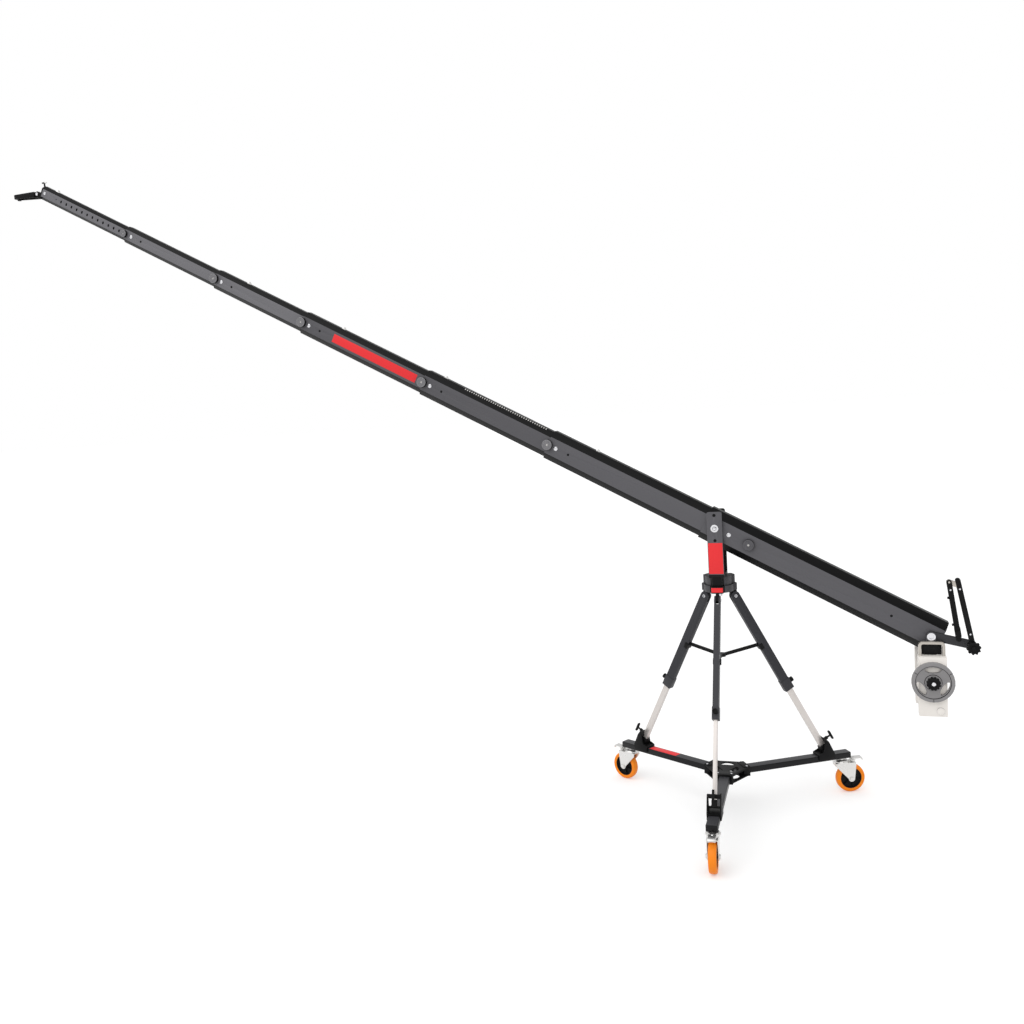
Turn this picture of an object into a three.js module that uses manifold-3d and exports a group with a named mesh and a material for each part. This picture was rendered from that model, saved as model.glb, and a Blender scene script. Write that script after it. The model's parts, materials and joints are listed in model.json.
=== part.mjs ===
// Camera jib crane: a telescoping boom on a tilting fork, a tripod and a three-wheeled dolly
// Millimetres, +Z up, boom in the XZ plane with its tip towards -X, floor at z = 0
import * as THREE from 'three';
import { mergeVertices } from 'three/addons/utils/BufferGeometryUtils.js';
import Module from 'manifold-3d';

const wasm = await Module();
wasm.setup();

// Shared clearances and facet counts
const fitGap = 0.3;
const runGap = 0.4;
const cutOver = 2;
const weldDistance = 0.0001;
const fineSides = 24;
const roundSides = 16;
const smallSides = 8;
const arcSteps = 6;

// Dolly
const wheelDiameter = 125;
const treadWidth = 32;
const treadCrown = 4;
const hubShare = 0.74;
const hubInset = 5;
const hubDishDepth = 6;
const hubBossRadius = 17;
const axleRadius = 6;
const casterTrail = 35;
const casterYaws = [2.5, -8.5, 2.5];
const casterHeight = 155;
const forkWall = 3;
const forkWheelGap = 3;
const forkHoodAbove = 6;
const forkToeRadius = 14;
const forkHoodBack = 32;
const forkHoodFront = 56;
const racewayRadius = 29;
const racewayThick = 11;
const stemRadius = 9;
const axleNutThick = 5;
const axleNutRadius = 10;
const pedalLength = 40;
const pedalWidth = 30;
const pedalThick = 4;
const pedalHingeRadius = 4;
const pedalHingeBack = 10;
const pedalLift = 9.5;
const armEndRadius = 570;
const armWidth = 45;
const armHeight = 26;
const armChamfer = 2.5;
const armRootRadius = 42;
const swivelInset = 32;
const plateReach = 90;
const plateHalfFlat = 31;
const plateThick = 5;
const mouthLength = 26;
const mouthProud = 2.5;
const moonRadius = 28;
const moonInset = 29;

// Tripod
const frontLegAngle = -89.5;
const legCount = 3;
const footInset = 116;
const footHeight = 206;
const legTopRadius = 68;
const legTopDrop = 28;
const upperLegDepth = 38;
const upperLegWidth = 24;
const upperLegWall = 2.5;
const upperLegShare = 0.6;
const lowerLegDepth = 26;
const lowerLegWidth = 15;
const lowerLegOverlap = 110;
const collarLength = 50;
const collarWall = 2;
const collarPlug = 30;
const legKnobRadius = 11;
const legKnobLength = 16;
const legKnobStud = 4;
const legKnobRise = 30;
const crownBottom = 951;
const crownThick = 29;
const crownRound = 60;
const crownLobeReach = 73;
const crownLobeWidth = 50;
const lugThick = 12;
const lugReach = 84;
const lugInner = 48;
const hingeBoltRadius = 5;
const tieKnobRadius = 13;
const tieKnobDrop = 22;
const spreaderShare = 0.31;
const spreaderDrop = 24;
const spreaderHubRadius = 17;
const spreaderHubThick = 13;
const spreaderBarWidth = 9;
const spreaderBarHeight = 13;
const spreaderClampLength = 24;
const spreaderClampWall = 4;
const spreaderClampReach = 13;

// Foot clamp
const saddleLength = 74;
const saddleWall = 5;
const saddleRoof = 7;
const saddleSkirt = 17;
const topBarRise = 26;
const topBarLength = 16;
const topBarDepth = 10;
const bracketMargin = 4;
const bracketNeck = 9;
const cupLength = 22;
const cupWall = 3;
const cradleThick = 6;
const cradleReach = 15;
const screwRadius = 4;
const screwLength = 34;
const sleeveRadius = 7.5;
const sleeveLength = 16;
const handleSpan = 17;
const handleEnd = 4.5;
const handleThick = 9;
const tabLength = 17;
const tabThick = 4;

// Pan fork
const turntableThick = 33.6;
const turntableRound = 54;
const turntableLobeReach = 66;
const turntableLobeWidth = 44;
const cheekWidth = 62;
const cheekThick = 8;
const cheekAbovePivot = 68;
const cheekCorner = 9;
const pivotAboveBase = 206;
const forkBaseThick = 12;
const cheekBoomGap = 6;
const tiltAxleRadius = 10;
const tiltWasherRadius = 15.5;
const tiltWasherThick = 4;
const tiltNutRadius = 9;
const tiltNutThick = 5;
const tiltBossRadius = 19;
const cheekHoleRadius = 5;
const cheekHoleUp = 54;
const cheekHoleDown = 50;

// Boom, all places along it measured from the tilt pivot towards the tip
const boomElevation = 28.5;
const rearReach = 958;
const frontReaches = [47, 787, 1427, 2087, 2597, 3152, 3692];
const nestOverlap = 200;
const outerWidth = 100;
const outerHeight = 139;
const widthStep = 8.4;
const heightStep = 12;
const tubeWall = 2.8;
const bandShare = 0.21;
const shoulderShare = 0.29;
const glideLength = 30;
const linerLength = 34;
const rearPlugLength = 62;
const lockHoleRadius = 4;
const lockHoleBack = 100;
const knobRadius = 23;
const tipKnobRadius = 18;
const knobThick = 15;
const knobRim = 3;
const knobDimple = 2;
const knobStudRadius = 4;
const earRadius = 15;
const rearKnobBack = 150;
const pinBack = 40;
const pinHeadRadius = 7;
const pinHeadThick = 3.2;
const pinShaftRadius = 3;
const rearPinBack = 62;
const tipSlotCount = 12;
const tipSlotPitch = 34;
const tipSlotStart = 126;
const tipSlotWidth = 9;
const tipSlotHeight = 14;
const tipHoleBack = 93;
const tipHoleRadius = 3;
const clipBacks = [0, 195, 75, 185, 155, 0, 62];
const clipLength = 16;
const clipWidth = 14;
const clipHeight = 9;

// Tip head
const tipPlugLength = 46;
const tipFaceThick = 7;
const tipLugThick = 7;
const tipLugGap = 27;
const tipLugReach = 22;
const tipLugRadius = 14;
const tipPivotDrop = 19;
const tipPinRadius = 5;
const tipScrewRadius = 4;
const tipScrewAhead = 6;
const tipScrewLength = 31;
const tipBarLength = 26;
const tipBarRadius = 3.5;
const platformLength = 158;
const platformWidth = 46;
const platformRootHeight = 28;
const platformEndHeight = 18;
const platformSkin = 4;
const platformScrewRadius = 9;
const platformScrewDrop = 8;

// Rear fittings
const rearBoltInset = 40;
const rearBoltRadius = 8;
const boltHeadRadius = 15.5;
const boltHeadThick = 6;
const rearArmThick = 8;
const rearArmHeight = 34;
const rosetteBack = 144;
const rosetteDrop = 33;
const rosetteBossRadius = 17;
const rosetteRadius = 26;
const rosetteLobes = 10;
const rosetteLobeDepth = 2.6;
const rosetteThick = 16;
const linkLength = 262;
const linkWidth = 19;
const linkDepth = 15;
const linkLean = 11;
const linkOpen = 3;
const linkSpacing = 31;
const linkTipLength = 222;
const linkPinRadius = 4;
const elbowHeight = 20;
const elbowDrop = 20;
const linkKnobDrops = [60, 165];
const linkKnobRadius = 5;
const linkKnobReach = 6;
const monitorPlateWidth = 22;
const monitorPlateRise = 8;
const monitorPlateHeight = 40;
const hangerThick = 6;
const hangerWidth = 34;
const hangerDrop = 285;
const hangerCrossDrop = 98;
const hangerLowDrop = 262;
const hangerTubeRadius = 8;
const blockWidth = 102;
const blockHeight = 234;
const blockThick = 40;
const blockTopDrop = 72;
const blockChamfer = 3;
const handleHeight = 55;
const handleBar = 10;
const handleDepth = 16;
const handleCorner = 16;
const capRadius = 14.5;
const capThick = 3;
const capAside = 26;
const capUp = 22;
const discRadius = 77.7;
const discThick = 20;
const discRim = 13;
const discDish = 4;
const discHub = 30;
const discBore = 10;
const discDrop = 167;
const gripLong = 30;
const gripShort = 12;
const gripReach = 48;
const discCount = 3;
const discKnobRadius = 26;
const discKnobLobes = 12;
const discKnobLobeDepth = 2;
const discKnobThick = 20;

// Derived places
const wheelRadius = wheelDiameter / 2;
const radians = THREE.MathUtils.degToRad;
const armBottom = casterHeight + fitGap;
const armTop = armBottom + armHeight;
const swivelRadius = armEndRadius - swivelInset;
const footRadius = armEndRadius - footInset;
const rearBoltBack = rearReach - rearBoltInset;
const crownTop = crownBottom + crownThick;
const turntableBottom = crownTop + runGap;
const forkBase = turntableBottom + turntableThick;
const pivotHeight = forkBase + pivotAboveBase;
const cheekInner = outerWidth / 2 + cheekBoomGap;
const cheekOuter = cheekInner + cheekThick;
const legTopHeight = crownBottom - legTopDrop;
const legRun = footRadius - legTopRadius;
const legFall = legTopHeight - footHeight;
const legLength = Math.hypot(legRun, legFall);
const legLean = Math.atan2(legRun, legFall);
const upperLegLength = legLength * upperLegShare;

// Materials
const paint = (color, roughness, metalness) =>
  new THREE.MeshStandardMaterial({ color, roughness, metalness });
const finish = {
  boom: paint(0x5f5d63, 0.45, 0.6),
  black: paint(0x1b1b1d, 0.5, 0.3),
  plastic: paint(0x242426, 0.6, 0),
  chrome: paint(0xd8d8da, 0.2, 1),
  zinc: paint(0xc9ccd0, 0.35, 1),
  silver: paint(0xd9d2ce, 0.4, 0.6),
  weight: paint(0xe9e4de, 0.55, 0.1),
  iron: paint(0x8b898a, 0.6, 0.3),
  tread: paint(0xff8a12, 0.5, 0),
};

// Geometry to a solid with its faces pointing out
function solidOf(geometry) {
  geometry.deleteAttribute('normal');
  geometry.deleteAttribute('uv');
  const merged = mergeVertices(geometry, weldDistance);
  const points = new Float32Array(merged.attributes.position.array);
  const faces = [];
  const source = merged.index.array;
  let volume = 0;
  const corner = [new THREE.Vector3(), new THREE.Vector3(), new THREE.Vector3()];
  for (let i = 0; i < source.length; i += 3) {
    const [a, b, c] = [source[i], source[i + 1], source[i + 2]];
    if (a === b || b === c || c === a) continue;
    faces.push(a, b, c);
    [a, b, c].forEach((v, k) => corner[k].fromArray(points, v * 3));
    volume += corner[0].dot(corner[1].cross(corner[2]));
  }
  if (volume < 0) {
    for (let i = 0; i < faces.length; i += 3) [faces[i], faces[i + 1]] = [faces[i + 1], faces[i]];
  }
  return new wasm.Manifold(new wasm.Mesh({
    numProp: 3, vertProperties: points, triVerts: new Uint32Array(faces),
  }));
}

const join = (...solids) => solids.reduce((a, b) => a.add(b));
const cut = (solid, ...tools) => tools.reduce((a, b) => a.subtract(b), solid);

// A block between two corners
function block(x0, x1, y0, y1, z0, z1) {
  const geometry = new THREE.BoxGeometry(x1 - x0, y1 - y0, z1 - z0);
  return solidOf(geometry.translate((x0 + x1) / 2, (y0 + y1) / 2, (z0 + z1) / 2));
}

// Round rods along each axis
function rodX(radius, x0, x1, y, z, sides = roundSides) {
  const geometry = new THREE.CylinderGeometry(radius, radius, x1 - x0, sides).rotateZ(Math.PI / 2);
  return solidOf(geometry.translate((x0 + x1) / 2, y, z));
}
function rodY(radius, y0, y1, x, z, sides = roundSides) {
  const geometry = new THREE.CylinderGeometry(radius, radius, y1 - y0, sides);
  return solidOf(geometry.translate(x, (y0 + y1) / 2, z));
}
function rodZ(radius, z0, z1, x, y, sides = roundSides) {
  const geometry = new THREE.CylinderGeometry(radius, radius, z1 - z0, sides).rotateX(Math.PI / 2);
  return solidOf(geometry.translate(x, y, (z0 + z1) / 2));
}

// Outlines pushed along an axis
const pushed = (shape, depth) =>
  new THREE.ExtrudeGeometry(shape, { depth, bevelEnabled: false, curveSegments: arcSteps });
const alongX = (shape, x0, x1) =>
  solidOf(pushed(shape, x1 - x0).rotateX(Math.PI / 2).rotateZ(Math.PI / 2).translate(x0, 0, 0));
const alongY = (shape, y0, y1) => solidOf(pushed(shape, y1 - y0).rotateX(Math.PI / 2).translate(0, y1, 0));
const alongZ = (shape, z0, z1) => solidOf(pushed(shape, z1 - z0).translate(0, 0, z0));
const outline = (points) => new THREE.Shape(points.map(([u, v]) => new THREE.Vector2(u, v)));

// A profile of radius and height turned about Y or Z
const turned = (profile, sides) =>
  new THREE.LatheGeometry(profile.map(([r, h]) => new THREE.Vector2(r, h)), sides);
const turnedY = (profile, sides = fineSides) => solidOf(turned(profile, sides));
const turnedZ = (profile, sides = fineSides) => solidOf(turned(profile, sides).rotateX(Math.PI / 2));

// A rectangle with arc corners
function roundedBox(u0, u1, v0, v1, radius) {
  const shape = new THREE.Shape();
  shape.moveTo(u0 + radius, v0);
  shape.lineTo(u1 - radius, v0);
  shape.absarc(u1 - radius, v0 + radius, radius, -Math.PI / 2, 0);
  shape.lineTo(u1, v1 - radius);
  shape.absarc(u1 - radius, v1 - radius, radius, 0, Math.PI / 2);
  shape.lineTo(u0 + radius, v1);
  shape.absarc(u0 + radius, v1 - radius, radius, Math.PI / 2, Math.PI);
  shape.lineTo(u0, v0 + radius);
  shape.absarc(u0 + radius, v0 + radius, radius, Math.PI, Math.PI * 1.5);
  return shape;
}

// A rectangle with cut corners, upright about a place along X
const chamfered = (u, half, tall, corner) => outline([
  [u + half - corner, -tall], [u + half, corner - tall], [u + half, tall - corner], [u + half - corner, tall],
  [u - half + corner, tall], [u - half, tall - corner], [u - half, corner - tall], [u - half + corner, -tall],
]);

// A bar with both ends round
function stadium(u0, v0, u1, v1, radius0, radius1 = radius0) {
  const angle = Math.atan2(v1 - v0, u1 - u0);
  const shape = new THREE.Shape();
  shape.absarc(u0, v0, radius0, angle + Math.PI / 2, angle + Math.PI * 1.5);
  shape.absarc(u1, v1, radius1, angle - Math.PI / 2, angle + Math.PI / 2);
  shape.closePath();
  return shape;
}

// A disc whose rim rises and falls in lobes
function scalloped(radius, lobes, depth) {
  const steps = lobes * 4;
  const points = Array.from({ length: steps }, (_, i) => {
    const angle = (i / steps) * Math.PI * 2;
    const reach = radius - depth + depth * Math.cos(angle * lobes);
    return [reach * Math.cos(angle), reach * Math.sin(angle)];
  });
  return outline(points);
}

const model = new THREE.Group();

function addPart(name, solid, material, parent) {
  const { vertProperties, triVerts } = solid.getMesh();
  const geometry = new THREE.BufferGeometry();
  geometry.setAttribute('position', new THREE.BufferAttribute(vertProperties, 3));
  geometry.setIndex(new THREE.BufferAttribute(triVerts, 1));
  const mesh = new THREE.Mesh(geometry, material);
  mesh.name = name;
  parent.add(mesh);
  return mesh;
}

function addGroup(parent, x, y, z, turn = 0) {
  const group = new THREE.Group();
  group.position.set(x, y, z);
  group.rotation.z = turn;
  parent.add(group);
  return group;
}

// A solid turned about the pan axis to the place of one leg
const legAngle = (i) => frontLegAngle + (i * 360) / legCount;
const turnedTo = (solid, angle) => solid.rotate([0, 0, angle]);

// Dolly plate: a top and a bottom plate with half-moon hand holes, tied by a mouth round each arm
function dollyPlate() {
  const corners = [];
  for (let i = 0; i < legCount; i += 1) {
    const angle = radians(legAngle(i));
    const [c, s] = [Math.cos(angle), Math.sin(angle)];
    for (const side of [-1, 1]) {
      const flat = plateHalfFlat * side;
      corners.push([plateReach * c - flat * s, plateReach * s + flat * c]);
    }
  }
  const [low, high] = [armBottom - fitGap, armTop + fitGap];
  const [bottom, top] = [low - plateThick, high + plateThick];
  const plan = outline(corners);
  const moon = new THREE.Shape();
  moon.absarc(moonInset, 0, moonRadius, -Math.PI / 2, Math.PI / 2);
  moon.closePath();
  const half = armWidth / 2 + fitGap;
  const wide = plateHalfFlat + mouthProud;
  const [back, front] = [plateReach - mouthLength, plateReach + mouthProud];
  const mouth = cut(
    block(back, front, -wide, wide, bottom - mouthProud, top + mouthProud),
    block(back - cutOver, front + cutOver, -half, half, low, high),
  );
  let plate = join(alongZ(plan, bottom, low), alongZ(plan, high, top));
  for (let i = 0; i < legCount; i += 1) {
    const hole = alongZ(moon, bottom - cutOver, top + cutOver);
    plate = cut(plate, turnedTo(hole, legAngle(i + 1 / 2)));
    plate = join(plate, turnedTo(mouth, legAngle(i)));
  }
  return plate;
}

function dollyArm() {
  const half = armWidth / 2;
  const c = armChamfer;
  const section = outline([
    [-half + c, armBottom], [half - c, armBottom], [half, armBottom + c], [half, armTop - c],
    [half - c, armTop], [-half + c, armTop], [-half, armTop - c], [-half, armBottom + c],
  ]);
  return alongX(section, armRootRadius, armEndRadius);
}

// Caster fork, drawn with the swivel axis at x = 0 and the wheel trailing towards +X
const forkInner = treadWidth / 2 + forkWheelGap;
const forkOuter = forkInner + forkWall;
const hoodBottom = wheelDiameter + forkHoodAbove;
const hoodTop = hoodBottom + forkWall;

function casterFork() {
  const side = new THREE.Shape();
  side.moveTo(-forkHoodBack, hoodTop);
  side.lineTo(-forkHoodBack, hoodBottom - racewayThick);
  side.lineTo(casterTrail - forkToeRadius, wheelRadius);
  side.absarc(casterTrail, wheelRadius, forkToeRadius, Math.PI, Math.PI * 2);
  side.lineTo(forkHoodFront, hoodBottom - racewayThick);
  side.lineTo(forkHoodFront, hoodTop);
  side.closePath();
  const hood = block(-forkHoodBack, forkHoodFront, -forkOuter, forkOuter, hoodBottom, hoodTop);
  const walls = [-1, 1].map((s) => {
    const [a, b] = [forkInner * s, forkOuter * s];
    return alongY(side, Math.min(a, b), Math.max(a, b));
  });
  const raceway = turnedZ([
    [0, hoodTop - forkWall / 2], [racewayRadius, hoodTop - forkWall / 2],
    [racewayRadius, hoodTop + racewayThick / 2], [racewayRadius - racewayThick / 2, hoodTop + racewayThick],
    [stemRadius, hoodTop + racewayThick], [stemRadius, casterHeight], [0, casterHeight],
  ]);
  const nutReach = forkOuter + axleNutThick;
  const axle = rodY(axleRadius, -nutReach, nutReach, casterTrail, wheelRadius);
  const nuts = [-1, 1].map((s) => {
    const [a, b] = [(forkOuter - forkWall / 2) * s, nutReach * s];
    return rodY(axleNutRadius, Math.min(a, b), Math.max(a, b), casterTrail, wheelRadius, arcSteps);
  });
  const hingeX = forkHoodFront - pedalHingeBack;
  const pin = rodY(pedalHingeRadius, -forkInner, forkInner, hingeX, hoodTop + pedalLift, smallSides);
  const pinHeight = hoodTop + pedalLift;
  const post = block(hingeX - forkWall, hingeX + forkWall, -forkWall, forkWall, hoodBottom, pinHeight);
  return join(hood, ...walls, raceway, axle, ...nuts, post, pin);
}

// Wheel: dished hub with a round-shouldered tread, one bonded piece
function casterWheel() {
  const half = treadWidth / 2;
  const hub = wheelRadius * hubShare;
  const bore = axleRadius + runGap;
  const dish = half - hubInset - hubDishDepth;
  const profile = [
    [bore, -half], [hubBossRadius, -half], [hubBossRadius + hubInset, -dish], [hub - hubInset, -dish],
    [hub, -half + hubInset / 2], [wheelRadius - treadCrown * 2, -half],
    [wheelRadius - treadCrown / 2, -half + treadCrown],
    [wheelRadius, -half + treadCrown * 2], [wheelRadius, half - treadCrown * 2],
    [wheelRadius - treadCrown / 2, half - treadCrown], [wheelRadius - treadCrown * 2, half],
    [hub, half - hubInset / 2], [hub - hubInset, dish], [hubBossRadius + hubInset, dish],
    [hubBossRadius, half], [bore, half], [bore, -half],
  ];
  return turnedY(profile);
}

// Brake pedal: two hinge ears under a plate with a turned-down toe
function brakePedal() {
  const bore = pedalHingeRadius + runGap;
  const rise = bore + pedalThick;
  const ear = pedalWidth / 2;
  const shape = new THREE.Shape();
  shape.absarc(0, 0, rise, Math.PI / 2, Math.PI * 1.5);
  shape.lineTo(rise, -rise / 2);
  shape.lineTo(rise + pedalThick, bore);
  shape.lineTo(pedalLength - pedalThick, bore);
  shape.lineTo(pedalLength, -bore);
  shape.lineTo(pedalLength + pedalThick, 0);
  shape.lineTo(pedalLength, rise);
  shape.closePath();
  const gapHalf = forkWall + runGap;
  const plate = alongY(shape, -ear, ear);
  const slot = block(-rise - cutOver, rise, -gapHalf, gapHalf, -rise - cutOver, rise + cutOver);
  return cut(plate, slot, rodY(bore, -ear - cutOver, ear + cutOver, 0, 0, smallSides));
}

// Leg tools: x runs out from the pan axis, the leg lies in the XZ plane
const legPoint = (along, out = 0) => [
  legTopRadius + along * Math.sin(legLean) + out * Math.cos(legLean),
  legTopHeight - along * Math.cos(legLean) + out * Math.sin(legLean),
];
const legQuad = (a0, a1, o0, o1) =>
  outline([legPoint(a0, o0), legPoint(a1, o0), legPoint(a1, o1), legPoint(a0, o1)]);
const legBar = (a0, a1, depth, width) =>
  alongY(legQuad(a0, a1, -depth / 2, depth / 2), -width / 2, width / 2);

function upperLeg() {
  const headRadius = upperLegDepth / 2;
  const head = rodY(headRadius, -upperLegWidth / 2, upperLegWidth / 2, legTopRadius, legTopHeight);
  const outer = legBar(0, upperLegLength, upperLegDepth, upperLegWidth);
  const collarSize = collarWall * 2;
  const collar = legBar(
    upperLegLength - collarLength, upperLegLength, upperLegDepth + collarSize, upperLegWidth + collarSize,
  );
  const boreSize = upperLegWall * 2;
  const bore = legBar(
    headRadius * 2, upperLegLength - collarPlug, upperLegDepth - boreSize, upperLegWidth - boreSize,
  );
  const mouth = legBar(
    upperLegLength - collarPlug - cutOver, upperLegLength + cutOver,
    lowerLegDepth + fitGap * 2, lowerLegWidth + fitGap * 2,
  );
  const slotHalf = lugThick / 2 + fitGap;
  const clear = headRadius + cutOver;
  const slot = alongY(legQuad(-clear, clear, -clear, clear), -slotHalf, slotHalf);
  const bolt = rodY(hingeBoltRadius, -upperLegWidth / 2 - cutOver, upperLegWidth / 2 + cutOver,
    legTopRadius, legTopHeight, smallSides);
  const stud = legCylinder(legKnobStud + fitGap, upperLegLength - legKnobRise, 0, upperLegDepth);
  return join(cut(join(head, outer, collar), bore, mouth, slot, stud), bolt);
}

// A cylinder square to the leg, pointing out
function legCylinder(radius, along, out0, out1, sides = smallSides) {
  const geometry = new THREE.CylinderGeometry(radius, radius, out1 - out0, sides);
  geometry.rotateZ(-Math.PI / 2).translate((out0 + out1) / 2, 0, 0).rotateY(-legLean);
  const [x, z] = legPoint(along);
  return solidOf(geometry.translate(x, 0, z));
}

function lowerLeg() {
  const start = upperLegLength - lowerLegOverlap;
  const tube = legBar(start, legLength, lowerLegDepth, lowerLegWidth);
  const wall = upperLegWall * 2;
  const bore = legBar(start - cutOver, legLength - upperLegWall, lowerLegDepth - wall, lowerLegWidth - wall);
  return cut(tube, bore);
}

// Lock knob with its stud, in the collar's threaded boss
function legKnob() {
  const seat = upperLegDepth / 2 + collarWall + fitGap;
  const along = upperLegLength - legKnobRise;
  const stud = legCylinder(legKnobStud, along, lowerLegDepth / 2 + fitGap * 2, seat + cutOver);
  const grip = legCylinder(legKnobRadius, along, seat, seat + legKnobLength, roundSides);
  return join(grip, stud);
}

// Three-lobed casting of the crown and turntable
function lobedDisc(round, reach, width, bottom, top) {
  let disc = rodZ(round, bottom, top, 0, 0, fineSides);
  for (let i = 0; i < legCount; i += 1) {
    const angle = radians(legAngle(i));
    const lobe = roundedBox(0, reach, -width / 2, width / 2, cheekCorner);
    disc = join(disc, solidOf(pushed(lobe, top - bottom).rotateZ(angle).translate(0, 0, bottom)));
  }
  return disc;
}

function tripodCrown() {
  let crown = lobedDisc(crownRound, crownLobeReach, crownLobeWidth, crownBottom, crownTop);
  const bolt = hingeBoltRadius + fitGap;
  for (let i = 0; i < legCount; i += 1) {
    const angle = radians(legAngle(i));
    const lugFoot = legTopHeight - upperLegDepth / 3;
    const lug = outline([
      [lugInner, crownBottom + cutOver], [lugInner, legTopHeight], [legTopRadius - hingeBoltRadius, lugFoot],
      [legTopRadius + hingeBoltRadius, lugFoot], [lugReach, legTopHeight],
      [crownLobeReach, crownBottom + cutOver],
    ]);
    const hole = new THREE.Path();
    hole.absarc(legTopRadius, legTopHeight, bolt, 0, Math.PI * 2, true);
    lug.holes.push(hole);
    const geometry = pushed(lug, lugThick).rotateX(Math.PI / 2).translate(0, lugThick / 2, 0).rotateZ(angle);
    crown = join(crown, solidOf(geometry));
  }
  const knob = rodZ(tieKnobRadius, crownBottom - tieKnobDrop, crownBottom + cutOver, 0, 0);
  return join(crown, knob);
}

// Mid spreader: a hub with a bar to a clamp around each leg
function spreader() {
  const along = legLength * spreaderShare;
  const [legX, legZ] = legPoint(along);
  const hubZ = legZ - spreaderDrop;
  let whole = rodZ(spreaderHubRadius, hubZ - spreaderHubThick / 2, hubZ + spreaderHubThick / 2, 0, 0);
  for (let i = 0; i < legCount; i += 1) {
    const barEnd = legX - upperLegDepth / 2 - spreaderBarHeight / 2;
    const bar = stadium(spreaderHubRadius / 2, hubZ, barEnd, legZ, spreaderBarHeight / 2);
    const geometry = pushed(bar, spreaderBarWidth).rotateX(Math.PI / 2).translate(0, spreaderBarWidth / 2, 0);
    const edge = upperLegDepth / 2 + fitGap;
    const wide = upperLegWidth / 2 + fitGap + spreaderClampWall;
    const bracket = legQuad(
      along - spreaderClampLength / 2, along + spreaderClampLength / 2,
      -edge - spreaderClampWall, spreaderClampReach - edge,
    );
    const [holeLow, holeHigh] = [along - spreaderClampLength, along + spreaderClampLength];
    const hole = legBar(holeLow, holeHigh, edge * 2, upperLegWidth + fitGap * 2);
    const arm = cut(join(solidOf(geometry), alongY(bracket, -wide, wide)), hole);
    whole = join(whole, turnedTo(arm, legAngle(i)));
  }
  return whole;
}

// Foot clamp: a bracket on the arm whose top bar holds the screw, and a cup round the leg's end
function footClamp() {
  const half = armWidth / 2 + fitGap;
  const wide = half + saddleWall;
  const x0 = footRadius - saddleLength / 2;
  const x1 = footRadius + saddleLength / 2;
  const roof = armTop + fitGap;
  const skirt = roof - saddleSkirt;
  const legSide = lowerLegDepth / 2 + fitGap;
  const [barLow, barHigh] = [legLength - topBarRise, legLength - topBarRise - topBarLength];
  const barOut = legSide + topBarDepth;
  const saddle = cut(
    block(x0, x1, -wide, wide, skirt, roof + saddleRoof),
    block(x0 - cutOver, x1 + cutOver, -half, half, skirt - cutOver, roof),
  );
  const side = outline([
    [x0, skirt], [x1, skirt], [x1, roof + saddleRoof],
    legPoint(barLow, barOut + bracketMargin), legPoint(barHigh, barOut), legPoint(barHigh, legSide),
    legPoint(barLow, legSide - bracketNeck), legPoint(legLength, -cradleReach), [x0, roof + saddleRoof],
  ]);
  const sides = [-1, 1].map((s) => alongY(side, Math.min(half * s, wide * s), Math.max(half * s, wide * s)));
  const topBar = alongY(legQuad(barHigh, barLow, legSide, barOut), -wide, wide);
  const cradle = alongY(
    legQuad(legLength + fitGap, legLength + fitGap + cradleThick, -cradleReach, cradleReach), -wide, wide,
  );
  const [depth, width] = [lowerLegDepth + fitGap * 2, lowerLegWidth + fitGap * 2];
  const cupTop = legLength - cupLength;
  const cup = cut(
    legBar(cupTop, legLength + fitGap + cradleThick, depth + cupWall * 2, width + cupWall * 2),
    legBar(cupTop - cutOver, legLength + fitGap, depth, width),
  );
  const screwAlong = (barLow + barHigh) / 2;
  const handleOut = barOut + screwLength;
  const sleeve = legCylinder(sleeveRadius, screwAlong, barOut - cutOver, barOut + sleeveLength, roundSides);
  const screw = legCylinder(screwRadius, screwAlong, barOut - cutOver, handleOut, smallSides);
  const ends = [-handleSpan, handleSpan].flatMap((reach) => legPoint(screwAlong + reach, handleOut));
  const handle = alongY(stadium(...ends, handleEnd), -handleThick / 2, handleThick / 2);
  const tab = alongY(
    legQuad(barHigh - tabThick, barHigh + tabThick, legSide - tabLength, barOut), half, wide,
  );
  return join(saddle, ...sides, topBar, cradle, cup, sleeve, screw, handle, tab);
}

// Pan fork: turntable, base and two drilled cheeks carrying the tilt axle
function panFork() {
  const turntable = lobedDisc(
    turntableRound, turntableLobeReach, turntableLobeWidth, turntableBottom, forkBase + cutOver,
  );
  const half = cheekWidth / 2;
  const base = block(-half, half, -cheekOuter, cheekOuter, forkBase, forkBase + forkBaseThick);
  const face = roundedBox(-half, half, forkBase, pivotHeight + cheekAbovePivot, cheekCorner);
  for (const z of [pivotHeight + cheekHoleUp, pivotHeight - cheekHoleDown]) {
    const hole = new THREE.Path();
    hole.absarc(0, z, cheekHoleRadius, 0, Math.PI * 2, true);
    face.holes.push(hole);
  }
  const washerEnd = cheekOuter + tiltWasherThick;
  const nutEnd = washerEnd + tiltNutThick;
  const sides = [-1, 1].flatMap((s) => {
    const span = (a, b) => [Math.min(a * s, b * s), Math.max(a * s, b * s)];
    return [
      alongY(face, ...span(cheekInner, cheekOuter)),
      rodY(tiltBossRadius, ...span(outerWidth / 2 + runGap, cheekInner + cutOver), 0, pivotHeight),
      rodY(tiltAxleRadius, ...span(outerWidth / 2 - tubeWall + fitGap, cheekInner + cutOver), 0, pivotHeight),
      rodY(tiltWasherRadius, ...span(cheekOuter - cutOver, washerEnd), 0, pivotHeight, fineSides),
      rodY(tiltNutRadius, ...span(cheekOuter, nutEnd), 0, pivotHeight, arcSteps),
    ];
  });
  return join(turntable, base, ...sides);
}

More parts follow.
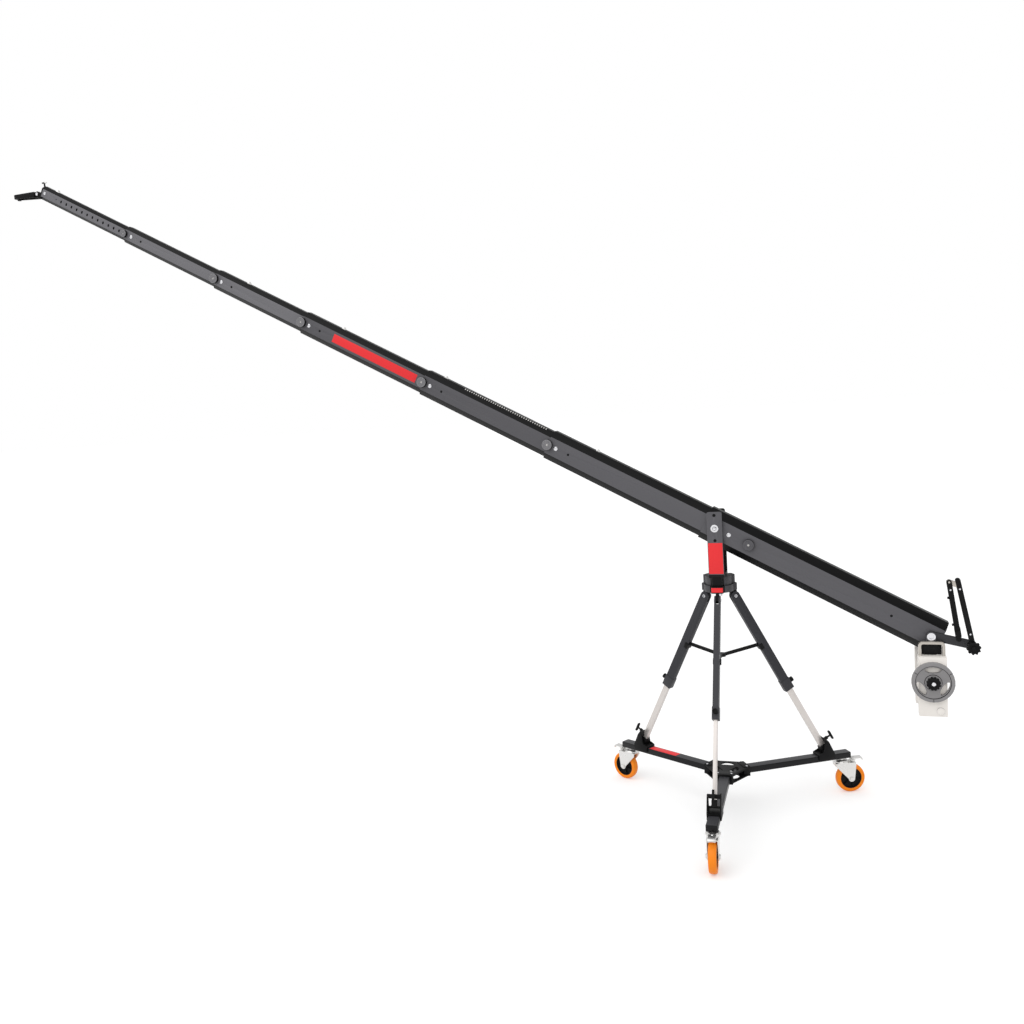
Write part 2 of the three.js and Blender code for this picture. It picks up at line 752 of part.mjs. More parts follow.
// Boom sections, drawn along X towards the tip with Z up off the boom and +Y on the knob side
const sectionCount = frontReaches.length;
const sectionWidth = (k) => outerWidth - widthStep * k;
const sectionHeight = (k) => outerHeight - heightStep * k;
const sectionRear = (k) => (k === 0 ? -rearReach : frontReaches[k - 1] - nestOverlap);
const knobBack = (k) => (k === 0 ? rearKnobBack + frontReaches[0] : 0);
const pinBackOf = (k) => (k === 0 ? rearPinBack + frontReaches[0] : pinBack);
const knobRadiusOf = (k) => (k === sectionCount - 2 ? tipKnobRadius : knobRadius);

function boomOutline(width, height) {
  const [a, b] = [width / 2, height / 2];
  const face = b - height * bandShare;
  const crest = a - width * shoulderShare;
  return outline([
    [crest, -b], [a, -face], [a, face], [crest, b], [-crest, b], [-a, face], [-a, -face], [-crest, -b],
  ]);
}

function boomSection(k) {
  const [width, height] = [sectionWidth(k), sectionHeight(k)];
  const [rear, front] = [sectionRear(k), frontReaches[k]];
  const last = k === sectionCount - 1;
  let body = alongX(boomOutline(width, height), rear, front);
  if (k > 0) {
    const bore = [sectionWidth(k - 1) - tubeWall * 2, sectionHeight(k - 1) - tubeWall * 2];
    const glide = boomOutline(bore[0] - runGap * 2, bore[1] - runGap * 2);
    body = join(body, alongX(glide, rear, rear + glideLength));
  }
  if (!last && k > 0) body = join(body, rodY(earRadius, width / 2 - tubeWall, width / 2, front, 0));
  const boreStart = k === 0 ? rear + rearPlugLength : rear - cutOver;
  const boreEnd = last ? front + cutOver : front - linerLength;
  const boreOutline = boomOutline(width - tubeWall * 2, height - tubeWall * 2);
  body = cut(body, alongX(boreOutline, boreStart, boreEnd));
  if (!last) {
    const mouth = boomOutline(sectionWidth(k + 1) + runGap * 2, sectionHeight(k + 1) + runGap * 2);
    body = cut(body, alongX(mouth, boreEnd - cutOver, front + earRadius + cutOver));
    const drill = (radius, x) => rodY(radius, 0, width, x, 0, smallSides);
    body = cut(body, drill(knobStudRadius + fitGap, front - knobBack(k)));
    body = cut(body, drill(pinShaftRadius + fitGap, front - pinBackOf(k)));
    const lockX = k === 0 ? rear + lockHoleBack * 2 : front - lockHoleBack;
    body = cut(body, drill(lockHoleRadius, lockX));
  } else {
    for (let i = 0; i < tipSlotCount; i += 1) {
      const x = front - tipSlotStart - i * tipSlotPitch;
      const slot = chamfered(x, tipSlotWidth / 2, tipSlotHeight / 2, tipSlotWidth / 3);
      body = cut(body, alongY(slot, -width, width));
    }
    body = cut(body, rodY(tipHoleRadius, -width, width, front - tipHoleBack, 0, smallSides));
  }
  if (k === 0) {
    const axle = rodY(tiltAxleRadius + fitGap, -width, width, 0, 0);
    const bolt = rodY(rearBoltRadius + fitGap, -width, width, -rearBoltBack, 0);
    body = cut(body, axle, bolt);
  }
  if (clipBacks[k] > 0) {
    const x = front - clipBacks[k];
    const foot = height / 2 - tubeWall / 2;
    const [brow, crest] = [height / 2 + clipHeight / 3, height / 2 + clipHeight];
    const clip = outline([
      [x - clipLength, foot], [x, foot], [x, brow], [x - clipLength / 3, crest],
      [x - clipLength / 2, crest], [x - clipLength, brow],
    ]);
    body = join(body, alongY(clip, -clipWidth / 2, clipWidth / 2));
  }
  return body;
}

// Clamp knob: dished cap on a stud that reaches through the wall
function clampKnob(k) {
  const radius = knobRadiusOf(k);
  const seat = sectionWidth(k) / 2 + fitGap;
  const stud = sectionWidth(k + 1) / 2 + runGap;
  const tip = Math.max(stud, sectionWidth(k) / 2 - tubeWall);
  const top = seat + knobThick;
  return turnedY([
    [0, tip], [knobStudRadius, tip], [knobStudRadius, seat], [radius - knobRim, seat],
    [radius, seat + knobRim], [radius, top - knobRim], [radius - knobRim, top], [radius / 3, top],
    [radius / 3 - knobDimple, top - knobDimple], [0, top - knobDimple],
  ]).translate([frontReaches[k] - knobBack(k), 0, 0]);
}

function lockPin(k) {
  const seat = sectionWidth(k) / 2 + fitGap;
  const tip = sectionWidth(k) / 2 - tubeWall + fitGap;
  return turnedY([
    [0, tip], [pinShaftRadius, tip], [pinShaftRadius, seat], [pinHeadRadius, seat],
    [pinHeadRadius, seat + pinHeadThick / 2], [pinHeadRadius / 2, seat + pinHeadThick],
    [0, seat + pinHeadThick],
  ], roundSides).translate([frontReaches[k] - pinBackOf(k), 0, 0]);
}

// Tip head: plug and face with two lugs, and the levelling screw with its cross bar
const tipFront = frontReaches[sectionCount - 1];
const tipPivotX = tipFront + fitGap + tipFaceThick + tipLugReach;

function tipBracket() {
  const last = sectionCount - 1;
  const size = (tubeWall + fitGap) * 2;
  const [width, height] = [sectionWidth(last), sectionHeight(last)];
  const faceBack = tipFront + fitGap;
  const plug = alongX(boomOutline(width - size, height - size), tipFront - tipPlugLength, faceBack + cutOver);
  const face = alongX(boomOutline(width, height), faceBack, faceBack + tipFaceThick);
  const lug = stadium(faceBack + tipFaceThick / 2, -tipPivotDrop, tipPivotX, -tipPivotDrop, tipLugRadius);
  const inner = tipLugGap / 2;
  const lugs = [-1, 1].map((s) => {
    const [a, b] = [inner * s, (inner + tipLugThick) * s];
    return alongY(lug, Math.min(a, b), Math.max(a, b));
  });
  const past = tipLugRadius * 2;
  const behind = block(tipFront - past, faceBack, -platformWidth, platformWidth, -platformLength, 0);
  const trimmed = cut(join(...lugs), behind);
  const pinReach = inner + tipLugThick + cutOver;
  const pin = rodY(tipPinRadius, -pinReach, pinReach, tipPivotX, -tipPivotDrop);
  const top = sectionHeight(last) / 2;
  const screwX = tipFront + fitGap + tipFaceThick + tipScrewAhead;
  const armEnd = screwX + tipScrewRadius * 2;
  const arm = block(tipFront + fitGap, armEnd, -tipLugThick, tipLugThick, top / 2, top / 2 + tipFaceThick);
  const screw = rodZ(tipScrewRadius, 0, tipScrewLength, 0, 0, smallSides);
  const barReach = tipBarLength / 2;
  const bar = rodX(tipBarRadius, -barReach, barReach, 0, tipScrewLength - tipBarRadius, smallSides);
  const upright = join(screw, bar).rotate([0, boomElevation, 0]);
  return join(plug, face, trimmed, pin, arm, upright.translate([screwX, 0, top / 2 + tipScrewRadius]));
}

// Camera platform: a tapered channel with a round end, pivoting between the tip lugs
function tipPlatform() {
  const half = platformWidth / 2;
  const tongue = tipLugGap / 2 - runGap;
  const clear = tipLugRadius + runGap * 2;
  const start = clear + platformSkin;
  const side = outline([
    [start, -platformRootHeight / 2], [start, platformRootHeight / 2],
    [platformLength, platformRootHeight / 2], [platformLength, platformRootHeight / 2 - platformEndHeight],
  ]);
  const plan = new THREE.Shape();
  plan.moveTo(start, -half);
  plan.lineTo(platformLength - half, -half);
  plan.absarc(platformLength - half, 0, half, -Math.PI / 2, Math.PI / 2);
  plan.lineTo(start, half);
  plan.closePath();
  const body = alongY(side, -half, half).intersect(alongZ(plan, -platformRootHeight, platformRootHeight));
  const pocket = block(start + platformSkin, platformLength - half, platformSkin - half, half - platformSkin,
    -platformRootHeight, platformRootHeight / 2 - platformSkin);
  const root = alongY(stadium(0, 0, start + platformSkin / 2, 0, tipLugRadius - runGap), -tongue, tongue);
  const bore = rodY(tipPinRadius + runGap, -half, half, 0, 0);
  const screw = rodZ(platformScrewRadius, platformRootHeight / 2 - platformEndHeight - platformScrewDrop,
    platformRootHeight / 2 - platformSkin, platformLength - half, 0);
  return cut(join(cut(body, pocket), root, screw), bore);
}

// Rear arm with the through bolt, drawn about the bolt with x to the rear and z up
const rearArmInner = outerWidth / 2 + runGap;
const rearArmOuter = rearArmInner + rearArmThick;
const hangerNear = rearArmOuter + runGap;
const hangerNearOuter = hangerNear + hangerThick;
const hangerFar = outerWidth / 2 + runGap * 2;
const hangerFarOuter = hangerFar + hangerThick;
const handleNear = fitGap + blockChamfer;
const linkInner = hangerNearOuter + handleNear + handleDepth + runGap;
const linkOuter = linkInner + linkDepth;

function rearArm() {
  const bar = stadium(0, 0, rosetteBack, -rosetteDrop, rearArmHeight / 2, rosetteBossRadius);
  const plate = alongY(bar, rearArmInner, rearArmOuter);
  const boss = rodY(rosetteBossRadius, rearArmInner, linkInner - runGap, rosetteBack, -rosetteDrop);
  const spindleEnd = linkOuter + rosetteThick / 2;
  const spindle = rodY(linkPinRadius, rearArmInner, spindleEnd, rosetteBack, -rosetteDrop, smallSides);
  const bolt = rodY(rearBoltRadius, -hangerFarOuter - boltHeadThick, hangerNearOuter + boltHeadThick, 0, 0);
  const headEnd = hangerNearOuter + boltHeadThick;
  const headNear = rodY(boltHeadRadius, hangerNearOuter + runGap, headEnd, 0, 0, fineSides);
  const headFar = rodY(boltHeadRadius, -hangerFarOuter - boltHeadThick, -hangerFarOuter - runGap, 0, 0);
  return join(plate, boss, spindle, bolt, headNear, headFar);
}

function rosetteKnob() {
  const start = linkOuter + fitGap;
  const disc = alongY(scalloped(rosetteRadius, rosetteLobes, rosetteLobeDepth), start, start + rosetteThick);
  const cap = rodY(rosetteRadius / 2, start, start + rosetteThick + knobDimple, 0, 0);
  const boreEnd = linkOuter + rosetteThick / 2 + runGap;
  const bore = rodY(linkPinRadius + runGap, start - cutOver, boreEnd, 0, 0, smallSides);
  return cut(join(disc, cap), bore);
}

// Lower link: tube from the rosette up to an elbow block that carries the second pivot
function lowerLink() {
  const tube = alongY(stadium(0, 0, 0, linkLength, linkWidth / 2), linkInner, linkOuter);
  const bore = rodY(linkPinRadius + runGap, linkInner - cutOver, linkOuter + cutOver, 0, 0, smallSides);
  const half = linkDepth / 4 - runGap;
  const middle = (linkInner + linkOuter) / 2;
  const bar = stadium(0, linkLength - elbowDrop, -linkSpacing, linkLength, elbowHeight / 2);
  const elbow = alongY(bar, middle - half, middle + half);
  const pin = rodY(linkPinRadius, linkInner, linkOuter, -linkSpacing, linkLength, smallSides);
  return join(cut(tube, bore), elbow, pin);
}

// Upper link: forked tube folded down beside the lower one, with the monitor plate at its end
function upperLink() {
  const tube = alongY(stadium(0, 0, 0, -linkTipLength, linkWidth / 2), linkInner, linkOuter);
  const half = linkDepth / 4;
  const middle = (linkInner + linkOuter) / 2;
  const slot = block(-linkWidth, linkWidth, middle - half, middle + half, -elbowHeight, elbowHeight);
  const bore = rodY(linkPinRadius + runGap, linkInner - cutOver, linkOuter + cutOver, 0, 0, smallSides);
  const foot = monitorPlateRise - linkTipLength;
  const plateHalf = monitorPlateWidth / 2;
  const plate = roundedBox(-plateHalf, plateHalf, foot, foot + monitorPlateHeight, knobRim);
  const seat = alongY(plate, linkOuter - cutOver, linkOuter + knobRim);
  const stud = rodY(linkPinRadius * 2, linkOuter, linkOuter + knobThick, 0, foot + monitorPlateHeight / 2);
  const edge = -linkWidth / 2;
  const knobs = linkKnobDrops.map((drop) =>
    rodX(linkKnobRadius, edge - linkKnobReach, edge + cutOver, middle, -drop, smallSides));
  return join(cut(tube, slot, bore), seat, stud, ...knobs);
}

// Hanger: straps beside the boom joined under it, drawn about the rear bolt
function weightHanger() {
  const half = hangerWidth / 2;
  const strap = roundedBox(-half, half, -hangerDrop, half, half - fitGap);
  const hole = new THREE.Path();
  hole.absarc(0, 0, rearBoltRadius + runGap, 0, Math.PI * 2, true);
  strap.holes.push(hole);
  const near = alongY(strap, hangerNear, hangerNearOuter);
  const far = alongY(strap, -hangerFarOuter, -hangerFar);
  const cross = [hangerCrossDrop, hangerLowDrop].map((drop) =>
    rodY(hangerTubeRadius, -hangerFarOuter + fitGap, hangerNearOuter - fitGap, 0, -drop));
  return join(near, far, ...cross);
}

// Counterweight block with its loop handle and a round cap, side +1 near and -1 far
function weightBlock(side) {
  const inner = (side > 0 ? hangerNearOuter : hangerFarOuter) + fitGap;
  const span = (a, b) => [Math.min(a * side, b * side), Math.max(a * side, b * side)];
  const half = blockWidth / 2;
  const top = -blockTopDrop;
  const panel = roundedBox(-half, half, top - blockHeight, top, blockChamfer);
  const body = alongY(panel, ...span(inner, inner + blockThick));
  const loopHalf = half - blockChamfer;
  const loop = roundedBox(-loopHalf, loopHalf, top - handleCorner, top + handleHeight, handleCorner);
  const windowHalf = loopHalf - handleBar;
  const windowTop = top + handleHeight - handleBar;
  const opening = roundedBox(-windowHalf, windowHalf, top - handleCorner * 2, windowTop, handleCorner / 2);
  const middle = inner + blockChamfer + handleDepth / 2;
  const handle = cut(
    alongY(loop, ...span(middle - handleDepth / 2, middle + handleDepth / 2)),
    alongY(opening, ...span(middle - handleDepth, middle + handleDepth)),
  );
  const face = inner + blockThick;
  const cap = rodY(capRadius, ...span(face - cutOver, face + capThick), capAside, top - blockHeight + capUp);
  if (side < 0) return join(body, handle, cap);
  const spindle = rodY(discBore - runGap, face - cutOver, face + discThick + discKnobThick / 2, 0, -discDrop);
  return join(body, handle, cap, spindle);
}

// Weight disc on the near block: raised rim and hub, dished web and three oval grips
function weightDisc() {
  const start = hangerNearOuter + fitGap * 2 + blockThick;
  const end = start + discThick;
  const dished = end - discDish;
  const rim = discRadius - discRim;
  const profile = [
    [discBore, start], [discRadius, start], [discRadius, end - discDish / 2],
    [discRadius - discDish / 2, end],
    [rim, end], [rim - discDish / 2, dished], [discHub + discDish / 2, dished],
    [discHub, end], [discBore, end], [discBore, start],
  ];
  let disc = turnedY(profile, fineSides + arcSteps);
  for (let i = 0; i < discCount; i += 1) {
    const grip = new THREE.Shape();
    grip.absellipse(0, 0, gripLong, gripShort, 0, Math.PI * 2);
    const tool = pushed(grip, discThick + cutOver * 2).translate(0, 0, -end - cutOver).rotateX(Math.PI / 2);
    tool.translate(0, 0, gripReach).rotateY((i * 2 * Math.PI) / discCount);
    disc = cut(disc, solidOf(tool));
  }
  return disc.translate([0, 0, -discDrop]);
}

function discKnob() {
  const start = hangerNearOuter + fitGap * 3 + blockThick + discThick;
  const end = start + discKnobThick;
  const disc = alongY(scalloped(discKnobRadius, discKnobLobes, discKnobLobeDepth), start, end);
  const cap = rodY(discKnobRadius / 3, start, end + knobDimple, 0, 0);
  const bore = rodY(discBore, start - cutOver, start + discKnobThick / 2 + cutOver, 0, 0);
  return cut(join(disc, cap), bore).translate([0, 0, -discDrop]);
}

// Assembly of the dolly and tripod
const legNames = ['front', 'right', 'left'];
addPart('dolly_plate', dollyPlate(), finish.black, model);
addPart('tripod_crown', tripodCrown(), finish.black, model);
addPart('spreader', spreader(), finish.black, model);
legNames.forEach((side, i) => {
  const leg = addGroup(model, 0, 0, 0, radians(legAngle(i)));
  addPart(`dolly_arm_${side}`, dollyArm(), finish.black, leg);
  addPart(`upper_leg_${side}`, upperLeg(), finish.black, leg);
  addPart(`lower_leg_${side}`, lowerLeg(), finish.silver, leg);
  addPart(`leg_knob_${side}`, legKnob(), finish.plastic, leg);
  addPart(`foot_clamp_${side}`, footClamp(), finish.black, leg);
  const caster = addGroup(leg, swivelRadius, 0, 0, radians(casterYaws[i]));
  addPart(`caster_fork_${side}`, casterFork(), finish.zinc, caster);
  const wheel = addGroup(caster, casterTrail, 0, wheelRadius);
  addPart(`caster_wheel_${side}`, casterWheel(), finish.tread, wheel);
  const pedal = addGroup(caster, forkHoodFront - pedalHingeBack, 0, hoodTop + pedalLift);
  addPart(`brake_pedal_${side}`, brakePedal(), finish.zinc, pedal);
});

// Assembly of the pan fork and boom
addPart('pan_fork', panFork(), finish.boom, model);
const tilt = radians(boomElevation);
const boom = addGroup(model, 0, 0, pivotHeight);
boom.setRotationFromMatrix(new THREE.Matrix4().makeBasis(
  new THREE.Vector3(-Math.cos(tilt), 0, Math.sin(tilt)),
  new THREE.Vector3(0, -1, 0),
  new THREE.Vector3(Math.sin(tilt), 0, Math.cos(tilt)),
));
frontReaches.forEach((_, k) => {
  addPart(`boom_section_${k + 1}`, boomSection(k), finish.boom, boom);
  if (k === sectionCount - 1) return;
  addPart(`clamp_knob_${k + 1}`, clampKnob(k), finish.plastic, boom);
  addPart(`lock_pin_${k + 1}`, lockPin(k), finish.chrome, boom);
});
addPart('tip_bracket', tipBracket(), finish.black, boom);

// Level groups at the two ends: x towards the tip at the tip head, x to the rear at the weights
function levelGroup(alongBoom, downBoom, tipward) {
  const x = -alongBoom * Math.cos(tilt) - downBoom * Math.sin(tilt);
  const z = pivotHeight + alongBoom * Math.sin(tilt) - downBoom * Math.cos(tilt);
  return addGroup(model, x, 0, z, tipward ? Math.PI : 0);
}
addPart('tip_platform', tipPlatform(), finish.black, levelGroup(tipPivotX, tipPivotDrop, true));

// The knob side of the boom faces -Y, so the rear fittings are drawn facing +Y and mirrored
const rear = levelGroup(-rearBoltBack, 0, false);
const mirrored = (solid) => solid.mirror([0, 1, 0]);
addPart('rear_arm', mirrored(rearArm()), finish.black, rear);
const rosette = addGroup(rear, rosetteBack, 0, -rosetteDrop);
addPart('rosette_knob', mirrored(rosetteKnob()), finish.plastic, rosette);
const leanGroup = addGroup(rosette, 0, 0, 0);
leanGroup.rotation.y = -radians(linkLean);
addPart('monitor_link_lower', mirrored(lowerLink()), finish.black, leanGroup);
const elbowGroup = addGroup(leanGroup, -linkSpacing, 0, linkLength);
elbowGroup.rotation.y = radians(linkOpen);
addPart('monitor_link_upper', mirrored(upperLink()), finish.black, elbowGroup);
addPart('weight_hanger', mirrored(weightHanger()), finish.boom, rear);
addPart('weight_block_near', mirrored(weightBlock(1)), finish.weight, rear);
addPart('weight_block_far', mirrored(weightBlock(-1)), finish.weight, rear);
addPart('weight_disc_near', mirrored(weightDisc()), finish.iron, rear);
addPart('weight_knob_near', mirrored(discKnob()), finish.plastic, rear);

// Origin on the floor under the middle of the whole
model.updateMatrixWorld(true);
const whole = new THREE.Box3().setFromObject(model, true);
model.position.set(-(whole.min.x + whole.max.x) / 2, -(whole.min.y + whole.max.y) / 2, 0);
model.updateMatrixWorld(true);

export default model;
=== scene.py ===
import json
from math import atan2, cos, hypot, pi, radians, sin

import bmesh
import bpy
from bpy.props import FloatProperty, FloatVectorProperty, IntProperty, PointerProperty
from mathutils import Matrix, Vector


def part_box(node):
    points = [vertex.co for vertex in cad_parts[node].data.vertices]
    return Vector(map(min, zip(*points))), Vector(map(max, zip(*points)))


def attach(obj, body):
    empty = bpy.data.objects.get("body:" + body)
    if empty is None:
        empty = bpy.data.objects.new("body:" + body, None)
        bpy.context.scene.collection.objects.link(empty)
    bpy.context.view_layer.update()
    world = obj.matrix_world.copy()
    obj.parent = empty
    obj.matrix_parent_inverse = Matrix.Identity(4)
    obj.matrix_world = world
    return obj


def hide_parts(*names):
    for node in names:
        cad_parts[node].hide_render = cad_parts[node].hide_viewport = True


bl_info = {
    "name": "Camera Jib Crane",
    "version": (1, 0, 0),
    "blender": (4, 5, 0),
    "location": "View3D > Sidebar > Crane",
    "description": "Dresses the packed crane with finished pieces, materials, floor, light and camera",
    "category": "Add Mesh",
}

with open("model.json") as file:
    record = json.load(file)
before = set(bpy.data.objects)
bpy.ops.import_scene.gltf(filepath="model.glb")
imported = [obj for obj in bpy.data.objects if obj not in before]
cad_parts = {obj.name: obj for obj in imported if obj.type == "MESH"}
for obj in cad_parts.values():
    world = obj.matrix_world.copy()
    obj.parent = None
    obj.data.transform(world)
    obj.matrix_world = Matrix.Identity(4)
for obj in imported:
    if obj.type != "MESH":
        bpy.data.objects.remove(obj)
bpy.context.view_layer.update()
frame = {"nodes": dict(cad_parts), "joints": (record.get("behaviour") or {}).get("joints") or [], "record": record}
JOINTS = {joint["name"]: joint for joint in frame["joints"]}
BODY_OF = {node: body for body, nodes in frame["record"]["behaviour"]["bodies"].items() for node in nodes}
SIDES = ("front", "right", "left")

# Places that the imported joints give: the tilt pivot, the boom's line and the pan axis
PIVOT = Vector(JOINTS["tilt"]["pos_m"])
ALONG = -Vector(JOINTS["section_2_slide"]["axis"])
ACROSS = Vector((0, -1, 0))
UPWARD = ALONG.cross(ACROSS)
BOOM = Matrix((ALONG, ACROSS, UPWARD)).transposed().to_4x4()
BOOM.translation = PIVOT
TO_BOOM = BOOM.inverted()
REAR_BOLT = Vector(JOINTS["weights_swing"]["pos_m"])
ROSETTE = Vector(JOINTS["monitor_lower_swing"]["pos_m"])


# Colours and small node helper

def linear(code):
    """Turn an sRGB hex code into linear red, green and blue"""
    values = [int(code[i:i + 2], 16) / 255 for i in (1, 3, 5)]
    return tuple(v / 12.92 if v <= 0.04045 else ((v + 0.055) / 1.055) ** 2.4 for v in values)


def add(tree, kind, settings=None, sockets=None):
    """Add one node, set its properties, and set or link its inputs"""
    item = tree.nodes.new(kind)
    for key, value in (settings or {}).items():
        setattr(item, key, value)
    for key, value in (sockets or {}).items():
        if isinstance(value, bpy.types.NodeSocket):
            tree.links.new(value, item.inputs[key])
        else:
            item.inputs[key].default_value = value
    return item


def rgba(colour):
    """A colour with full opacity, as the colour sockets want it"""
    return (*colour, 1.0)


# Sizes and colours that a user may change

def colour(name, description, code):
    """A colour property from an sRGB hex code"""
    return FloatVectorProperty(name=name, description=description, subtype='COLOR', size=3, min=0, max=1,
                               default=linear(code))


def length(name, description, value):
    """A length property in metres"""
    return FloatProperty(name=name, description=description, default=value, unit='LENGTH', subtype='DISTANCE',
                         min=0.0, precision=5)


class CraneColours(bpy.types.PropertyGroup):
    face: colour("Rear tubes", "Grey anodised faces of the two rear tubes and the fork", "#5b5a5e")
    middle: colour("Middle tubes", "Darker anodised faces of the third and fourth tube", "#565559")
    front: colour("Front tubes", "Lighter anodised faces of the three front tubes", "#717074")
    # Painted light: a lighter grey on the side lobes of the castings
    lobe: colour("Casting lobes", "Painted light on the side lobes of the crown and turntable", "#444346")
    upper_leg: colour("Upper legs", "Charcoal anodised upper leg tubes", "#38383c")
    # Painted shade: the black of the boom's chamfers and crests
    band: colour("Boom band", "Black anodised chamfers of the boom", "#060607")
    black: colour("Black parts", "Powder coated castings and plates", "#0d0d0e")
    tube: colour("Black tubes", "Anodised dolly arms", "#121214")
    # Painted light: lighter upper faces of the dolly arms and the near face of the rear arm
    arm_top: colour("Arm tops", "Brushed upper faces of the dolly arms", "#3b3b3e")
    leg: colour("Lower legs", "Satin anodised lower leg tubes", "#d6d0cc")
    plastic: colour("Knobs", "Moulded nylon grips", "#101011")
    zinc: colour("Caster forks", "Zinc plated pressed steel", "#dedddb")
    chrome: colour("Pins and bolts", "Bright plated steel", "#dcdcdf")
    tread: colour("Treads", "Polyurethane treads of the casters", "#ff8b10")
    white: colour("Weight blocks", "Off-white coated weight blocks", "#f3eee8")
    iron: colour("Weight disc", "Cast iron disc in grey enamel", "#8b898a")
    handle: colour("Weight handles", "Satin nickel tubes of the weight handles", "#bdb7af")
    # Painted shade: the dark of the disc's steps
    groove: colour("Disc grooves", "Dirt-dark steps of the weight disc", "#2f2e2f")
    # Light inserts of the knobs, and the light of the painted highlight marks on the boom
    label: colour("Label places", "Bare red label places", "#f03a3e")
    dot: colour("Knob centres", "Light inserts at the knob centres, also the painted highlight marks on the boom", "#c4c2bf")
    knob_face: colour("Knob faces", "Turned faces of the clamp knobs", "#807f82")


class CraneSizes(bpy.types.PropertyGroup):
    edge: length("Edge radius", "Rounding of machined edges", 0.0008)
    cast_edge: length("Cast edge radius", "Rounding of cast edges", 0.0016)
    label_thick: length("Label thickness", "Thickness of the bare label places", 0.00025)
    wheel: length("Wheel diameter", "Outer diameter of the caster wheels", 0.125)
    tread: length("Tread width", "Width of the caster treads", 0.032)
    knob: length("Clamp knob radius", "Radius of the five larger clamp knobs", 0.023)
    knob_ribs: IntProperty(name="Knob ribs", description="Grip ribs round a clamp knob", default=30,
                           min=6, max=60)


class CraneStage(bpy.types.PropertyGroup):
    floor_size: length("Floor size", "Side of the square floor", 240.0)
    key_light: FloatProperty(name="Key light", description="Strength of the broad light above the camera",
                             default=0.9, min=0, max=5)
    world_light: FloatProperty(name="World light", description="Strength of the even light all round",
                               default=0.78, subtype='FACTOR', min=0, max=2)
    floor_glow: FloatProperty(name="Floor glow",
                              description="What lifts the seen floor to the white of the backdrop",
                              default=0.32, subtype='FACTOR', min=0, max=1)


def colours():
    return bpy.context.scene.crane_colours


def sizes():
    return bpy.context.scene.crane_sizes


# Materials

MATERIALS = {}
# Index of refraction of paint, anodising and plastic
PAINT_IOR = 1.5
# Cloudy drift per metre, and how far it moves the roughness
DRIFT_SCALE = 9.0
ROUGH_DRIFT = 0.05
# Bump height as a share of the grain size
GRAIN_DEPTH = 0.25
# Pointiness where a rubbed edge starts and where it is full
EDGE_STARTS, EDGE_FULL = 0.53, 0.62


def surface(name, base, rough, metal, grain, size_mm, shade, stretch=(1, 1, 1), turn=0.0, wear=0.0,
            shine=0.5):
    """One principled surface with colour drift, roughness drift and a fine bump at a real size"""
    if name in MATERIALS:
        return MATERIALS[name]
    material = bpy.data.materials.new(name)
    material.use_nodes = True
    tree = material.node_tree
    shader = tree.nodes["Principled BSDF"]
    place = add(tree, "ShaderNodeTexCoord").outputs["Object"]
    turned_place = add(tree, "ShaderNodeMapping", sockets={
        "Vector": place, "Rotation": (0, turn, 0), "Scale": stretch}).outputs["Vector"]
    drift = add(tree, "ShaderNodeTexNoise", sockets={
        "Vector": place, "Scale": DRIFT_SCALE, "Detail": 4.0}).outputs["Fac"]
    fine = add(tree, "ShaderNodeTexNoise", sockets={
        "Vector": turned_place, "Scale": 1000.0 / size_mm, "Detail": 3.0}).outputs["Fac"]
    mixed = add(tree, "ShaderNodeMix", {"data_type": 'FLOAT'}, {0: 0.5, 2: drift, 3: fine}).outputs[0]
    lower = tuple(c * (1 - shade) for c in base)
    upper = tuple(min(1.0, c * (1 + shade)) for c in base)
    tone = add(tree, "ShaderNodeMix", {"data_type": 'RGBA'}, {
        0: mixed, 6: rgba(lower), 7: rgba(upper)}).outputs[2]
    if wear:
        edge = add(tree, "ShaderNodeNewGeometry").outputs["Pointiness"]
        rubbed = add(tree, "ShaderNodeMapRange", sockets={
            "Value": edge, "From Min": EDGE_STARTS, "From Max": EDGE_FULL, "To Min": 0.0,
            "To Max": wear}).outputs["Result"]
        # Rubbed edges show the brighter ground under the finish
        bright = tuple(min(1.0, c * 1.8 + 0.05) for c in base)
        tone = add(tree, "ShaderNodeMix", {"data_type": 'RGBA'}, {
            0: rubbed, 6: tone, 7: rgba(bright)}).outputs[2]
    tree.links.new(tone, shader.inputs["Base Color"])
    gloss = add(tree, "ShaderNodeMapRange", sockets={
        "Value": drift, "To Min": max(0.03, rough - ROUGH_DRIFT),
        "To Max": rough + ROUGH_DRIFT}).outputs["Result"]
    tree.links.new(gloss, shader.inputs["Roughness"])
    shader.inputs["Metallic"].default_value = metal
    shader.inputs["Specular IOR Level"].default_value = shine
    if not metal:
        shader.inputs["IOR"].default_value = PAINT_IOR
    bump = add(tree, "ShaderNodeBump", sockets={
        "Height": fine, "Strength": grain, "Distance": size_mm * GRAIN_DEPTH / 1000}).outputs["Normal"]
    tree.links.new(bump, shader.inputs["Normal"])
    MATERIALS[name] = material
    return material


# Stretch and turn of the noise, so that drawn lines run along the boom
DRAWN = {"stretch": (0.01, 1, 1), "turn": atan2(ALONG.z, -ALONG.x), "shine": 0.3}

